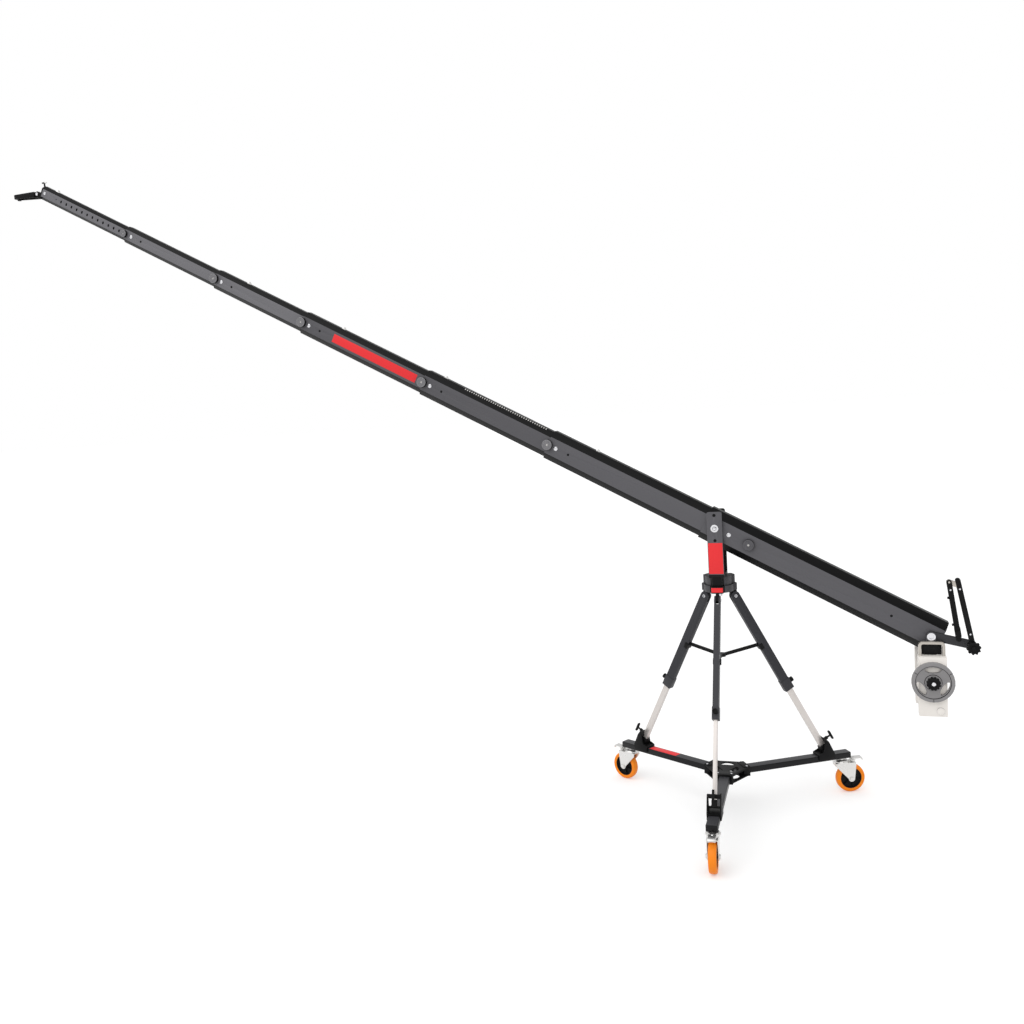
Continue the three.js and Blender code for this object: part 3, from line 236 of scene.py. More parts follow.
# Material name, colour, roughness, metallic, grain, grain size in mm, shade, and what differs further
FINISHES = {
    # Grey anodised extrusions, three baths of slightly different depth: satin, with fine drawn lines
    "boom_rear": ("anodised_tube_rear", "face", 0.42, 0, 0.08, 0.8, 0.05, DRAWN),
    "boom_middle": ("anodised_tube_middle", "middle", 0.42, 0, 0.08, 0.8, 0.05, DRAWN),
    "boom_front": ("anodised_tube_front", "front", 0.42, 0, 0.08, 0.8, 0.05, DRAWN),
    # Painted shade: deep black on the chamfers and crests of the same tubes, which hardly mirrors the room
    "boom_band": ("anodised_tube_band", "band", 0.42, 0, 0.06, 1.0, 0.1, {"shine": 0.14}),
    # Powder coat on castings: a soft orange peel of about 2 mm that breaks up highlights
    "cast_black": ("powder_coat_black", "black", 0.5, 0, 0.25, 2.0, 0.12, {"wear": 0.1, "shine": 0.14}),
    # Anodised extrusion: fine drawn lines and a satin sheen
    "tube_black": ("anodised_black_tube", "tube", 0.34, 0, 0.08, 1.2, 0.08, {"wear": 0.1, "shine": 0.2}),
    # Charcoal anodised leg tube: duller and lighter than the arms
    "leg_charcoal": ("anodised_charcoal_tube", "upper_leg", 0.42, 0, 0.08, 1.2, 0.08,
                     {"wear": 0.1, "shine": 0.2}),
    # Painted light: the arm tube's upper face lighter, where it takes more light
    "arm_top": ("brushed_black_tube_top", "arm_top", 0.4, 0, 0.1, 1.2, 0.1, {"shine": 0.2}),
    # Side lobes of the castings a lighter grey: painted light where they turn to the light, with rubbed edges
    "lobe_painted_light": ("rubbed_casting_grey", "lobe", 0.5, 0, 0.2, 2.0, 0.12, {"wear": 0.2, "shine": 0.25}),
    # Grey anodised plate of the fork: very fine bead blast
    "plate_grey": ("anodised_grey_plate", "face", 0.45, 0, 0.12, 1.0, 0.05, {"wear": 0.15, "shine": 0.3}),
    # Satin anodised tube: pale, slightly streaked along its length
    "leg_silver": ("anodised_silver_tube", "leg", 0.32, 0.55, 0.06, 1.0, 0.05, {"stretch": (1, 1, 0.02)}),
    # Moulded nylon: spark-eroded texture that looks dull from afar
    "nylon_black": ("moulded_nylon_black", "plastic", 0.55, 0, 0.3, 1.0, 0.1, {"shine": 0.14}),
    # Zinc plate: bright with a faint cloudy drift
    "zinc": ("zinc_plated_steel", "zinc", 0.28, 0.9, 0.05, 3.0, 0.08, {}),
    # Bright plated steel: mirror-like with turning marks too fine to see
    "chrome": ("bright_plated_steel", "chrome", 0.14, 1, 0.02, 0.6, 0.03, {}),
    # Cast polyurethane: saturated, waxy and slightly scuffed
    "tread_orange": ("cast_polyurethane_orange", "tread", 0.45, 0, 0.12, 2.5, 0.04, {"shine": 0.3}),
    # Off-white powder coat: smooth with a faint peel
    "weight_white": ("powder_coat_off_white", "white", 0.45, 0, 0.15, 2.5, 0.03, {"shine": 0.3}),
    # Enamelled cast iron: sand texture under grey enamel
    "iron_grey": ("enamelled_cast_iron", "iron", 0.5, 0.1, 0.5, 2.2, 0.12, {"wear": 0.2}),
    # Painted shade on the steps of the disc
    "groove_dark": ("enamel_groove_dark", "groove", 0.7, 0, 0.3, 2.0, 0.15, {"shine": 0.2}),
    # Satin nickel tube of the weight handles
    "handle_silver": ("satin_nickel_tube", "handle", 0.3, 0.8, 0.03, 1.5, 0.04, {}),
    # Bare vinyl label place: flat red with a slight gloss
    "label_red": ("bare_label_vinyl_red", "label", 0.4, 0, 0.03, 1.5, 0.03, {"shine": 0.15}),
    # Turned light insert of the knob centres, also the light of the painted highlight marks on the boom
    "insert_and_painted_highlight": ("turned_aluminium_insert", "dot", 0.3, 0.6, 0.05, 0.8, 0.03, {}),
    # Turned and anodised knob face, a shade lighter than the tubes
    "knob_grey": ("turned_knob_face", "knob_face", 0.4, 0.2, 0.05, 0.8, 0.05, {}),
}


def finish(key):
    """The named finish of the real part"""
    name, tone, rough, metal, grain, size_mm, shade, more = FINISHES[key]
    return surface(name, getattr(colours(), tone), rough, metal, grain, size_mm, shade, **more)


# Mesh tools

def only(piece):
    """Deselect everything, then select and activate one piece"""
    if bpy.context.object and bpy.context.object.mode != 'OBJECT':
        bpy.ops.object.mode_set(mode='OBJECT')
    bpy.ops.object.select_all(action='DESELECT')
    piece.select_set(True)
    bpy.context.view_layer.objects.active = piece


def edit(piece):
    """Start editing one piece with all its faces selected"""
    only(piece)
    bpy.ops.object.mode_set(mode='EDIT')
    bpy.ops.mesh.select_mode(type='FACE')
    bpy.ops.mesh.select_all(action='SELECT')


def done():
    """Leave edit mode"""
    bpy.ops.object.mode_set(mode='OBJECT')


def pick(piece, test):
    """Select the faces whose centre and normal pass the test; the piece is in edit mode"""
    mesh = bmesh.from_edit_mesh(piece.data)
    for face in mesh.faces:
        face.select_set(bool(test(face.calc_center_median(), face.normal)))
    mesh.select_flush_mode()
    bmesh.update_edit_mesh(piece.data)


def bevel(piece, width):
    """Round each edge that turns by more than 30 degrees"""
    only(piece)
    rounding = piece.modifiers.new("edges", 'BEVEL')
    rounding.width = width
    rounding.segments = 2
    rounding.limit_method = 'ANGLE'
    rounding.angle_limit = radians(30)
    bpy.ops.object.modifier_apply(modifier=rounding.name)


def step_top(piece, inward, rise):
    """Inset the upper face of a piece and raise or sink what is inside it"""
    edit(piece)
    pick(piece, lambda c, n: n.z > 0.9)
    bpy.ops.mesh.inset(thickness=inward)
    bpy.ops.mesh.extrude_region_move(TRANSFORM_OT_translate={"value": (0, 0, rise)})
    done()


def scallop(piece, beyond, share, count):
    """Draw the rim of a round piece in by a share of its radius, a number of times in one turn"""
    for vertex in piece.data.vertices:
        if Vector((vertex.co.x, vertex.co.y)).length > beyond:
            turn = atan2(vertex.co.y, vertex.co.x)
            scale = 1 - share * (0.5 - 0.5 * cos(turn * count))
            vertex.co.x *= scale
            vertex.co.y *= scale


def complete(piece, body, key, matrix=None, stands_for=()):
    """Place the piece in its mesh, smooth it, give it a finish and let it ride"""
    only(piece)
    bpy.ops.object.transform_apply(location=True, rotation=True, scale=True)
    if matrix is not None:
        piece.data.transform(matrix)
    bpy.ops.object.shade_smooth_by_angle(angle=radians(32))
    if not piece.data.materials:
        piece.data.materials.append(finish(key))
    for node in stands_for:
        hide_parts(node)
    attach(piece, body)
    return piece


def zone(piece, key, test):
    """Give another finish to the faces whose centre and normal pass the test"""
    piece.data.materials.append(finish(key))
    index = len(piece.data.materials) - 1
    for face in piece.data.polygons:
        if test(face.center, face.normal):
            face.material_index = index


def dressed(node, key, width, merge=0.00001):
    """A merged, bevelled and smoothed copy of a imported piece, which stands for it"""
    mesh = frame["nodes"][node].data.copy()
    mesh.materials.clear()
    piece = bpy.data.objects.new(node + "_finished", mesh)
    bpy.context.scene.collection.objects.link(piece)
    only(piece)
    if mesh.has_custom_normals:
        bpy.ops.mesh.customdata_custom_splitnormals_clear()
    edit(piece)
    bpy.ops.mesh.remove_doubles(threshold=merge)
    bpy.ops.mesh.mark_sharp(clear=True)
    bpy.ops.mesh.dissolve_limited(angle_limit=radians(0.5))
    done()
    bevel(piece, width)
    piece.data.materials.append(finish(key))
    return complete(piece, BODY_OF[node], key, stands_for=[node])


def cube(name, low, high):
    """A box between two corners, to be shaped further"""
    low, high = Vector(low), Vector(high)
    bpy.ops.object.select_all(action='DESELECT')
    bpy.ops.mesh.primitive_cube_add(size=1, location=(low + high) / 2)
    piece = bpy.context.object
    piece.name = name
    piece.scale = high - low
    bpy.ops.object.transform_apply(location=True, rotation=True, scale=True)
    return piece


def rod(name, radius, low, high, sides):
    """A rod along Z, to be shaped further"""
    bpy.ops.object.select_all(action='DESELECT')
    bpy.ops.mesh.primitive_cylinder_add(vertices=sides, radius=radius, depth=high - low,
                                        location=(0, 0, (low + high) / 2))
    piece = bpy.context.object
    piece.name = name
    bpy.ops.object.transform_apply(location=True, rotation=True, scale=True)
    return piece


def turned(name, profile, steps):
    """Spin a profile of radius and height round Z"""
    mesh = bpy.data.meshes.new(name)
    mesh.from_pydata([(r, 0, h) for r, h in profile], [(i, i + 1) for i in range(len(profile) - 1)], [])
    piece = bpy.data.objects.new(name, mesh)
    bpy.context.scene.collection.objects.link(piece)
    only(piece)
    bpy.ops.object.mode_set(mode='EDIT')
    bpy.ops.mesh.select_all(action='SELECT')
    bpy.ops.mesh.spin(steps=steps, angle=2 * pi, center=(0, 0, 0), axis=(0, 0, 1))
    bpy.ops.mesh.select_all(action='SELECT')
    bpy.ops.mesh.remove_doubles(threshold=0.000002)
    bpy.ops.mesh.normals_make_consistent(inside=False)
    done()
    return piece


def standing(origin, axis, side=None):
    """The matrix that stands a piece's Z on an axis at a point"""
    z = Vector(axis).normalized()
    x = (Vector(side) - z * z.dot(Vector(side))).normalized() if side else z.orthogonal().normalized()
    matrix = Matrix((x, z.cross(x), z)).transposed().to_4x4()
    matrix.translation = Vector(origin)
    return matrix


def hexagon(name, across, height, chamfer, origin, axis, body, key="chrome"):
    """A hexagon head with a chamfered crown and a small raised face"""
    piece = rod(name, across / 2, 0, height, 6)
    step_top(piece, chamfer, chamfer / 2)
    bevel(piece, chamfer / 3)
    return complete(piece, body, key, standing(origin, axis))


def screw(name, radius, height, origin, axis, body, key="chrome"):
    """A round screw head with a sunk middle and a rounded rim"""
    piece = rod(name, radius, 0, height, 24)
    step_top(piece, radius * 0.45, -height * 0.55)
    bevel(piece, radius * 0.12)
    return complete(piece, body, key, standing(origin, axis))


def lobed(name, radius, lobes, depth, thick, dish):
    """A scalloped grip round Z with a dished face"""
    piece = rod(name, radius, 0, thick, lobes * 10)
    step_top(piece, radius * 0.42, -dish)
    scallop(piece, radius * 0.8, depth / radius, lobes)
    bevel(piece, 0.0012)
    return piece


def knob_centre(name, foot):
    """The round insert in the dish of a scalloped grip, from its foot up"""
    return turned(name, [
        (0, foot), (0.0075, foot), (0.0075, foot + 0.0043), (0.0062, foot + 0.0055), (0, foot + 0.0055)],
        FINE_STEPS)


def label_place(name, long, tall, matrix, body, key="label_red"):
    """A bare, thin plate with rounded corners"""
    thick = sizes().label_thick
    piece = cube(name, (-long / 2, -tall / 2, 0), (long / 2, tall / 2, thick))
    step_top(piece, 0.0015, thick / 3)
    bevel(piece, thick / 3)
    return complete(piece, body, key, matrix)


def boom_at(along, across, upward):
    """The place of a point measured from the pivot along the boom, to its knob side and up"""
    return BOOM @ Vector((along, across, upward))


def boom_plate(along, across, upward):
    """The matrix of a plate that lies on the knob side of the boom, long side along it"""
    matrix = Matrix((ALONG, ACROSS.cross(ALONG), ACROSS)).transposed().to_4x4()
    matrix.translation = boom_at(along, across, upward)
    return matrix


# Boom sizes in metres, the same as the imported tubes: front ends and rear end from the pivot,
# then half of each tube's width and height
FRONTS = (0.047, 0.787, 1.427, 2.087, 2.597, 3.152, 3.692)
REAR = -0.958
TIP = len(FRONTS) - 1
HALF_WIDTHS = tuple((0.1 - 0.0084 * k) / 2 for k in range(TIP + 1))
HALF_HEIGHTS = tuple((0.139 - 0.012 * k) / 2 for k in range(TIP + 1))
# Finish of each tube's faces, from the rear one to the tip
TONES = ("boom_rear", "boom_rear", "boom_middle", "boom_middle", "boom_front", "boom_front", "boom_front")
# Steps of small turned pieces and of wheels
FINE_STEPS, WHEEL_STEPS = 48, 96
# A face looks straight along an axis where its normal has this share of it
STRAIGHT = 0.9
# Outer faces of the fork's cheeks from the pivot
CHEEK = 0.064


def painted_highlight_row(name, k, long, back):
    """A row of fine light marks along the crest of one tube's upper chamfer, as a painted highlight of the crest
    """
    pitch = 0.011
    forward = Vector((1, 0, 0))
    corner = Vector((0, HALF_WIDTHS[k], HALF_HEIGHTS[k] * 0.58))
    crest = Vector((0, HALF_WIDTHS[k] * 0.42, HALF_HEIGHTS[k]))
    slope = (crest - corner).normalized()
    square = forward.cross(slope)
    outward = square if square.y > 0 else -square
    place = Matrix((forward, slope, square)).transposed().to_4x4()
    place.translation = corner.lerp(crest, 0.86) + outward * 0.0001
    place.translation.x = FRONTS[k] - back - long / 2
    mark = cube(name, (-0.0022, -0.0035, -0.0002), (0.0022, 0.0035, 0.0002))
    edit(mark)
    pick(mark, lambda c, n: abs(n.z) > STRAIGHT)
    bpy.ops.mesh.inset(thickness=0.0004)
    done()
    row = mark.modifiers.new("row", 'ARRAY')
    row.use_relative_offset = False
    row.use_constant_offset = True
    row.constant_offset_displace = (pitch, 0, 0)
    row.count = int(long / pitch)
    bpy.ops.object.modifier_apply(modifier=row.name)
    shift = Matrix.Translation((-long / 2, 0, 0))
    return complete(mark, f"boom_{k + 1}", "insert_and_painted_highlight", BOOM @ place @ shift)


class CRANE_OT_boom(bpy.types.Operator):
    """Build the seven telescoping tubes with their label place, painted highlight marks, rivet and rear screws"""
    bl_idname = "crane.boom"
    bl_label = "Boom Tubes"

    def execute(self, context):
        for k, tone in enumerate(TONES):
            # Half the rounding, because the step inside each mouth is only a millimetre wide
            tube = dressed(f"boom_section_{k + 1}", tone, sizes().edge / 2)
            # Every face not turned to the side takes the black painted shade
            zone(tube, "boom_band", lambda c, n: abs(n.y) < STRAIGHT)
            # The clips are all that stands above a tube's crest
            clip = HALF_HEIGHTS[k] + 0.001
            zone(tube, "zinc", lambda c, n: (TO_BOOM @ c).z > clip)
        label_place("label_place_section_4", 0.45, 0.038, boom_plate(1.687, HALF_WIDTHS[3], 0), "boom_4")
        rivet = boom_at(FRONTS[TIP] - 0.018, HALF_WIDTHS[TIP], 0.002)
        screw("tip_rivet", 0.0075, 0.0022, rivet, ACROSS, "boom_7")
        # Light marks as painted highlight along the crest of the third tube's chamfer
        painted_highlight_row("boom_graduation", 2, 0.42, 0.18)
        for k in range(TIP):
            spot = boom_at(REAR + 0.2 if k == 0 else FRONTS[k] - 0.1, HALF_WIDTHS[k], 0)
            # Nearly flush, so that it passes the mouth of the tube outside
            screw(f"set_screw_{k + 1}", 0.0052, 0.00025, spot, ACROSS, f"boom_{k + 1}",
                  "nylon_black")
        # Painted shade: a dark strip just inside the wall of the tip tube, seen through its row of holes
        rear, front, face = FRONTS[TIP] - 0.51, FRONTS[TIP] - 0.08, HALF_WIDTHS[TIP] - 0.0031
        shade_strip = cube("hole_row_liner", (rear, face - 0.0015, -0.012), (front, face, 0.012))
        bevel(shade_strip, 0.0005)
        complete(shade_strip, "boom_7", "nylon_black", BOOM)
        for n, (across, up) in enumerate(((0.03, 0.04), (0.03, -0.04), (-0.03, 0.04), (-0.03, -0.04))):
            screw(f"rear_cap_screw_{n}", 0.005, 0.0015, boom_at(REAR, across, up), -ALONG, "boom_1",
                  "nylon_black")
        return {'FINISHED'}


class CRANE_OT_clamps(bpy.types.Operator):
    """Build the six clamp knobs with ringed faces and the six lock pins"""
    bl_idname = "crane.clamps"
    bl_label = "Clamp Knobs and Pins"

    def execute(self, context):
        thick, ribs = 0.015, sizes().knob_ribs
        for k in range(TIP):
            radius = 0.018 if k == TIP - 1 else sizes().knob
            knob = JOINTS[f"clamp_knob_{k + 1}_turn"]
            seat = HALF_WIDTHS[k] + 0.0003
            origin = Vector(knob["pos_m"])
            origin.y = PIVOT.y - seat
            rings = []
            for ring in (0.78, 0.6, 0.42):
                edge = radius * ring
                rings += [(edge, thick), (edge - 0.0006, thick - 0.0008), (edge - 0.0012, thick)]
            profile = [
                (0, 0), (radius - 0.003, 0), (radius, 0.003), (radius, thick - 0.003),
                (radius - 0.001, thick - 0.001), (radius - 0.003, thick), *rings,
                (radius * 0.2, thick), (radius * 0.18, thick - 0.0015), (0, thick - 0.0015)]
            body = turned(f"clamp_knob_{k + 1}_grip", profile, ribs * 4)
            scallop(body, radius * 0.97, 0.018, ribs)
            body.data.materials.append(finish("nylon_black"))
            zone(body, "knob_grey" if k else "plate_grey", lambda c, n: n.z > 0.5 and c.z > thick * 0.7)
            zone(body, "insert_and_painted_highlight", lambda c, n: n.z > 0.5 and Vector((c.x, c.y)).length < radius * 0.19)
            complete(body, f"clamp_{k + 1}", "nylon_black", standing(origin, ACROSS),
                     [f"clamp_knob_{k + 1}"])
            pin = JOINTS[f"lock_pin_{k + 1}_pull"]
            low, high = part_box(f"lock_pin_{k + 1}")
            middle = (low + high) / 2
            middle.y = PIVOT.y - seat
            head = turned(f"lock_pin_{k + 1}_head", [
                (0, -0.0025), (0.003, -0.0025), (0.003, 0), (0.008, 0), (0.0085, 0.0004), (0.0085, 0.0014),
                (0.0077, 0.0018), (0.0056, 0.0018), (0.005, 0.0026), (0.0036, 0.0032), (0, 0.0032)],
                FINE_STEPS)
            complete(head, pin["child"], "chrome", standing(middle, ACROSS),
                     [f"lock_pin_{k + 1}"])
        return {'FINISHED'}


def spread(point):
    """Distance of a point from the pan axis"""
    return Vector((point.x - PIVOT.x, point.y - PIVOT.y)).length


def on_side_lobe(point, normal):
    """Whether a face is on the upright side of a casting lobe left or right of the front one"""
    return abs(normal.z) < 0.5 and spread(point) > 0.045 and abs(point.x - PIVOT.x) > 0.03


class CRANE_OT_head(bpy.types.Operator):
    """Build the pan fork with its plated tilt bolts and bare label places"""
    bl_idname = "crane.head"
    bl_label = "Pan Fork"

    def execute(self, context):
        fork = dressed("pan_fork", "plate_grey", sizes().edge)
        # The cheeks stand on the base at this height
        deck = PIVOT.z - 0.19
        # Black below the deck and on every face but the outer sides of the cheeks: the castings' own black, with
        # painted shade on the inner sides of the cheeks
        zone(fork, "cast_black", lambda c, n: c.z < deck or n.y * (c.y - PIVOT.y) < 0.05)
        # The side lobes, lighter grey as painted light
        zone(fork, "lobe_painted_light", lambda c, n: on_side_lobe(c, n) and c.z < deck - 0.016)
        for side in (-1, 1):
            seat = (PIVOT.x, PIVOT.y + side * CHEEK, PIVOT.z)
            axis = (0, side, 0)
            washer = turned(f"tilt_washer_{side + 1}", [
                (0, -0.001), (0.0158, -0.001), (0.0158, 0.0035), (0.015, 0.0043), (0.0102, 0.0043),
                (0, 0.0043)], 64)
            complete(washer, "pan_head", "chrome", standing(seat, axis))
            hexagon(f"tilt_nut_{side + 1}", 0.0192, 0.0086, 0.0018, seat, axis, "pan_head")
        # Plates that stand on the front cheek: x to the right and y up on its face
        face = Matrix(((1, 0, 0), (0, 0, -1), (0, 1, 0))).to_4x4()
        face.translation = Vector((PIVOT.x, PIVOT.y - CHEEK, PIVOT.z - 0.124))
        label_place("label_place_fork", 0.058, 0.128, face, "pan_head")
        face.translation.z = PIVOT.z - 0.1983
        label_place("fork_foot_strip", 0.0615, 0.0148, face, "pan_head", "cast_black")
        for n, up in enumerate((0.054, -0.05)):
            spot = PIVOT + Vector((0, -CHEEK, up))
            screw(f"cheek_set_screw_{n}", 0.0064, 0.0009, spot, (0, -1, 0), "pan_head",
                  "nylon_black")
        return {'FINISHED'}


def leg_matrix(side):
    """The matrix of a leg's own frame: x runs out from the pan axis"""
    swivel = Vector(JOINTS[f"caster_{side}_swivel"]["pos_m"])
    turn = atan2(swivel.y - PIVOT.y, swivel.x - PIVOT.x)
    matrix = Matrix.Rotation(turn, 4, 'Z')
    matrix.translation = Vector((PIVOT.x, PIVOT.y, 0))
    return matrix


class CRANE_OT_tripod(bpy.types.Operator):
    """Build the crown with its label place, the legs, leg knobs, hinge bolts and spreader"""
    bl_idname = "crane.tripod"
    bl_label = "Tripod"

    def execute(self, context):
        crown = dressed("tripod_crown", "cast_black", sizes().cast_edge)
        # The crown casting begins here, and below it hangs the tie knob
        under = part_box("tripod_crown")[0].z + 0.0475
        # The side lobes, lighter grey as painted light
        zone(crown, "lobe_painted_light", lambda c, n: on_side_lobe(c, n) and c.z > under)
        zone(crown, "chrome", lambda c, n: c.z < under and spread(c) < 0.0145)
        label = cube("label_place_crown", (0.07305, -0.0235, 0.956), (0.0733, 0.0235, 0.975))
        edit(label)
        bpy.ops.mesh.subdivide(number_cuts=17)
        done()
        # The front lobe is flat in the middle and turns back round its two corners
        flat, corner = 0.016, 0.009
        for vertex in label.data.vertices:
            past = max(0.0, abs(vertex.co.y) - flat)
            vertex.co.x -= corner - (corner ** 2 - past ** 2) ** 0.5
        bevel(label, 0.0001)
        complete(label, "base", "label_red", leg_matrix("front"))
        dressed("spreader", "cast_black", sizes().edge / 2, 0.0002)
        for side in SIDES:
            dressed(f"upper_leg_{side}", "leg_charcoal", sizes().edge)
            dressed(f"lower_leg_{side}", "leg_silver", sizes().edge)
            knob = JOINTS[f"leg_knob_{side}_turn"]
            axis = Vector(knob["axis"])
            grip = lobed(f"leg_knob_{side}_grip", 0.011, 7, 0.0018, 0.0155, 0.002)
            start = Vector(knob["pos_m"]) + axis * 0.0213
            complete(grip, f"leg_clamp_{side}", "nylon_black", standing(start, axis),
                     [f"leg_knob_{side}"])
            place = leg_matrix(side)
            for half in (-1, 1):
                origin = place @ Vector((0.068, half * 0.0125, 0.923))
                outward = place.to_3x3() @ Vector((0, half, 0))
                screw(f"hinge_bolt_{side}_{half + 1}", 0.0065, 0.003, origin, outward, "base")
        return {'FINISHED'}


class CRANE_OT_dolly(bpy.types.Operator):
    """Build the dolly plate, arms, foot clamps and their small fittings"""
    bl_idname = "crane.dolly"
    bl_label = "Dolly"

    def execute(self, context):
        dressed("dolly_plate", "cast_black", sizes().edge, 0.0004)
        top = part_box("dolly_plate")[1].z
        for side in SIDES:
            arm = dressed(f"dolly_arm_{side}", "tube_black", sizes().edge)
            # The upper faces, lighter as painted light
            zone(arm, "arm_top", lambda c, n: n.z > STRAIGHT)
            dressed(f"foot_clamp_{side}", "cast_black", sizes().edge / 2, 0.0004)
            place = leg_matrix(side)
            for n, y in enumerate((-0.0275, 0.0275)):
                screw(f"mouth_screw_{side}_{n}", 0.0042, 0.0032, place @ Vector((0.079, y, top)),
                      (0, 0, 1), "base")
        place = leg_matrix("left") @ Matrix.Translation((0.335, 0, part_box("dolly_arm_left")[1].z))
        label_place("label_place_arm", 0.15, 0.034, place, "base")
        return {'FINISHED'}


class CRANE_OT_casters(bpy.types.Operator):
    """Build the three casters: fork, hub, tread and brake pedal"""
    bl_idname = "crane.casters"
    bl_label = "Casters"

    def execute(self, context):
        s = sizes()
        # Radius of the wheel, half the tread's width, and the radius where tread and hub meet
        outer, half, hub = s.wheel / 2, s.tread / 2, s.wheel * 0.37
        for side in SIDES:
            dressed(f"caster_fork_{side}", "zinc", s.edge)
            dressed(f"brake_pedal_{side}", "zinc", s.edge)
            roll = JOINTS[f"wheel_{side}_roll"]
            body = roll["child"]
            matrix = standing(roll["pos_m"], roll["axis"])
            crown = [(outer - 0.0105, half), (outer - 0.006, half - 0.0006), (outer - 0.0028, half - 0.0024),
                     (outer - 0.0008, half - 0.0062), (outer, half - 0.011)]
            loop = [(hub, half - 0.002), *crown, *((r, -h) for r, h in reversed(crown)),
                    (hub, -half + 0.002), (hub, half - 0.002)]
            tread = turned(f"tread_{side}", loop, WHEEL_STEPS)
            complete(tread, body, "tread_orange", matrix, [f"caster_wheel_{side}"])
            face = [(0.0068, half), (0.0165, half), (0.0175, half - 0.001), (0.0195, half - 0.0095),
                    (0.0225, half - 0.0108), (hub - 0.008, half - 0.0108), (hub - 0.0055, half - 0.0095),
                    (hub - 0.0042, half - 0.0035), (hub - 0.0003, half - 0.0028)]
            loop = [*face, *((r, -h) for r, h in reversed(face)), face[0]]
            core = turned(f"hub_{side}", loop, WHEEL_STEPS)
            complete(core, body, "nylon_black", matrix)
            for face_side in (-1, 1):
                for n in range(6):
                    rib = cube(f"hub_rib_{side}_{face_side + 1}_{n}", (0.0185, -0.0014, half - 0.0112),
                               (hub - 0.0055, 0.0014, half - 0.0042))
                    bevel(rib, 0.0006)
                    turn = Matrix.Rotation(radians(60 * n), 4, 'Z')
                    flip = Matrix.Rotation(pi if face_side < 0 else 0, 4, 'X')
                    complete(rib, body, "nylon_black", matrix @ flip @ turn)
            fork = JOINTS[f"caster_{side}_swivel"]["child"]
            axis = Vector(roll["axis"])
            for face_side in (-1, 1):
                origin = Vector(roll["pos_m"]) + axis * face_side * 0.022
                hexagon(f"axle_nut_{side}_{face_side + 1}", 0.0204, 0.0054, 0.0016, origin,
                        axis * face_side, fork, "zinc")
        return {'FINISHED'}


class CRANE_OT_tip(bpy.types.Operator):
    """Build the tip head with its levelling screw and the camera platform"""
    bl_idname = "crane.tip"
    bl_label = "Tip Head"

    def execute(self, context):
        bracket = dressed("tip_bracket", "cast_black", sizes().edge)
        # The plated shaft of the levelling screw, above the foot where it leaves the head
        foot = boom_at(FRONTS[TIP] + 0.0133, 0, HALF_HEIGHTS[TIP] + 0.007)
        zone(bracket, "zinc", lambda c, n: (c - foot).xy.length < 0.0048 and 0.001 < c.z - foot.z < 0.021)
        dressed("tip_platform", "cast_black", sizes().edge / 2)
        pivot = Vector(JOINTS["platform_tilt"]["pos_m"])
        for n, x in enumerate((0.055, 0.09)):
            screw(f"platform_screw_{n}", 0.005, 0.002, pivot + Vector((-x, 0, 0.0138)), (0, 0, 1), "platform")
        for side in (-1, 1):
            screw(f"platform_pin_head_{side + 1}", 0.0075, 0.003, pivot + Vector((0, side * 0.0222, 0)),
                  (0, side, 0), "boom_7")
        return {'FINISHED'}


class CRANE_OT_weights(bpy.types.Operator):
    """Build the hanger, the off-white blocks with plated handles, and the disc with its knob"""
    bl_idname = "crane.weights"
    bl_label = "Weights"

    def execute(self, context):
        dressed("weight_hanger", "plate_grey", sizes().edge)
        # A black plate standing above the blocks, which darkens what shows through the handle's window
        window_plate = cube("hanger_stop_plate", REAR_BOLT + Vector((-0.036, -0.0673, -0.0705)),
                    REAR_BOLT + Vector((0.036, -0.065, -0.023)))
        bevel(window_plate, 0.001)
        complete(window_plate, "weights", "cast_black")
        # Only the loop handles stand above the top of the blocks
        top = REAR_BOLT.z - 0.0715
        for label in ("near", "far"):
            block = dressed(f"weight_block_{label}", "weight_white", sizes().cast_edge)
            zone(block, "handle_silver", lambda c, n: c.z > top)
            if label == "near":
                # The rim of the round cap, grey as painted shade, so that its outline shows on the white block
                cap_x, cap_z, reach = REAR_BOLT.x + 0.026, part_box("weight_block_near")[0].z + 0.022, 0.0152
                zone(block, "iron_grey",
                     lambda c, n: abs(n.y) < 0.97 and hypot(c.x - cap_x, c.z - cap_z) < reach)
        disc = dressed("weight_disc_near", "iron_grey", sizes().edge)
        knob = JOINTS["weight_knob_near_turn"]
        hub = Vector(knob["pos_m"])
        axis = Vector(knob["axis"])

        def off_hub(point):
            return Vector((point.x - hub.x, point.z - hub.z)).length

        # Painted shade on the steps at the rim and at the hub
        for inner, outer in ((0.0605, 0.0665), (0.0285, 0.0335)):
            zone(disc, "groove_dark", lambda c, n: abs(n.y) < 0.95 and inner < off_hub(c) < outer)
        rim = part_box("weight_disc_near")[0].y
        # Three short radial marks on the rim, in the same dark painted-shade finish
        for n in range(3):
            mark = cube(f"disc_rim_mark_{n}", (0.0655, -0.0011, -0.0003), (0.0768, 0.0011, 0.0003))
            bevel(mark, 0.0002)
            place = standing((hub.x, rim, hub.z), (0, -1, 0), (1, 0, 0))
            complete(mark, "weights", "groove_dark",
                     place @ Matrix.Rotation(radians(30 + 120 * n), 4, "Z"))
        start = Vector((hub.x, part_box("weight_knob_near")[1].y, hub.z))
        grip = lobed("weight_knob_near_grip", 0.026, 12, 0.004, 0.02, 0.003)
        complete(grip, knob["child"], "nylon_black", standing(start, axis),
                 ["weight_knob_near"])
        centre = knob_centre("weight_knob_near_centre", 0.0165)
        complete(centre, knob["child"], "chrome", standing(start, axis))
        for side, thick in ((-1, 0.0708), (1, 0.0628)):
            origin = REAR_BOLT + Vector((0, side * thick, 0))
            screw(f"rear_bolt_head_{side + 1}", 0.0158, 0.0026, origin, (0, side, 0), "boom_1")
        return {'FINISHED'}


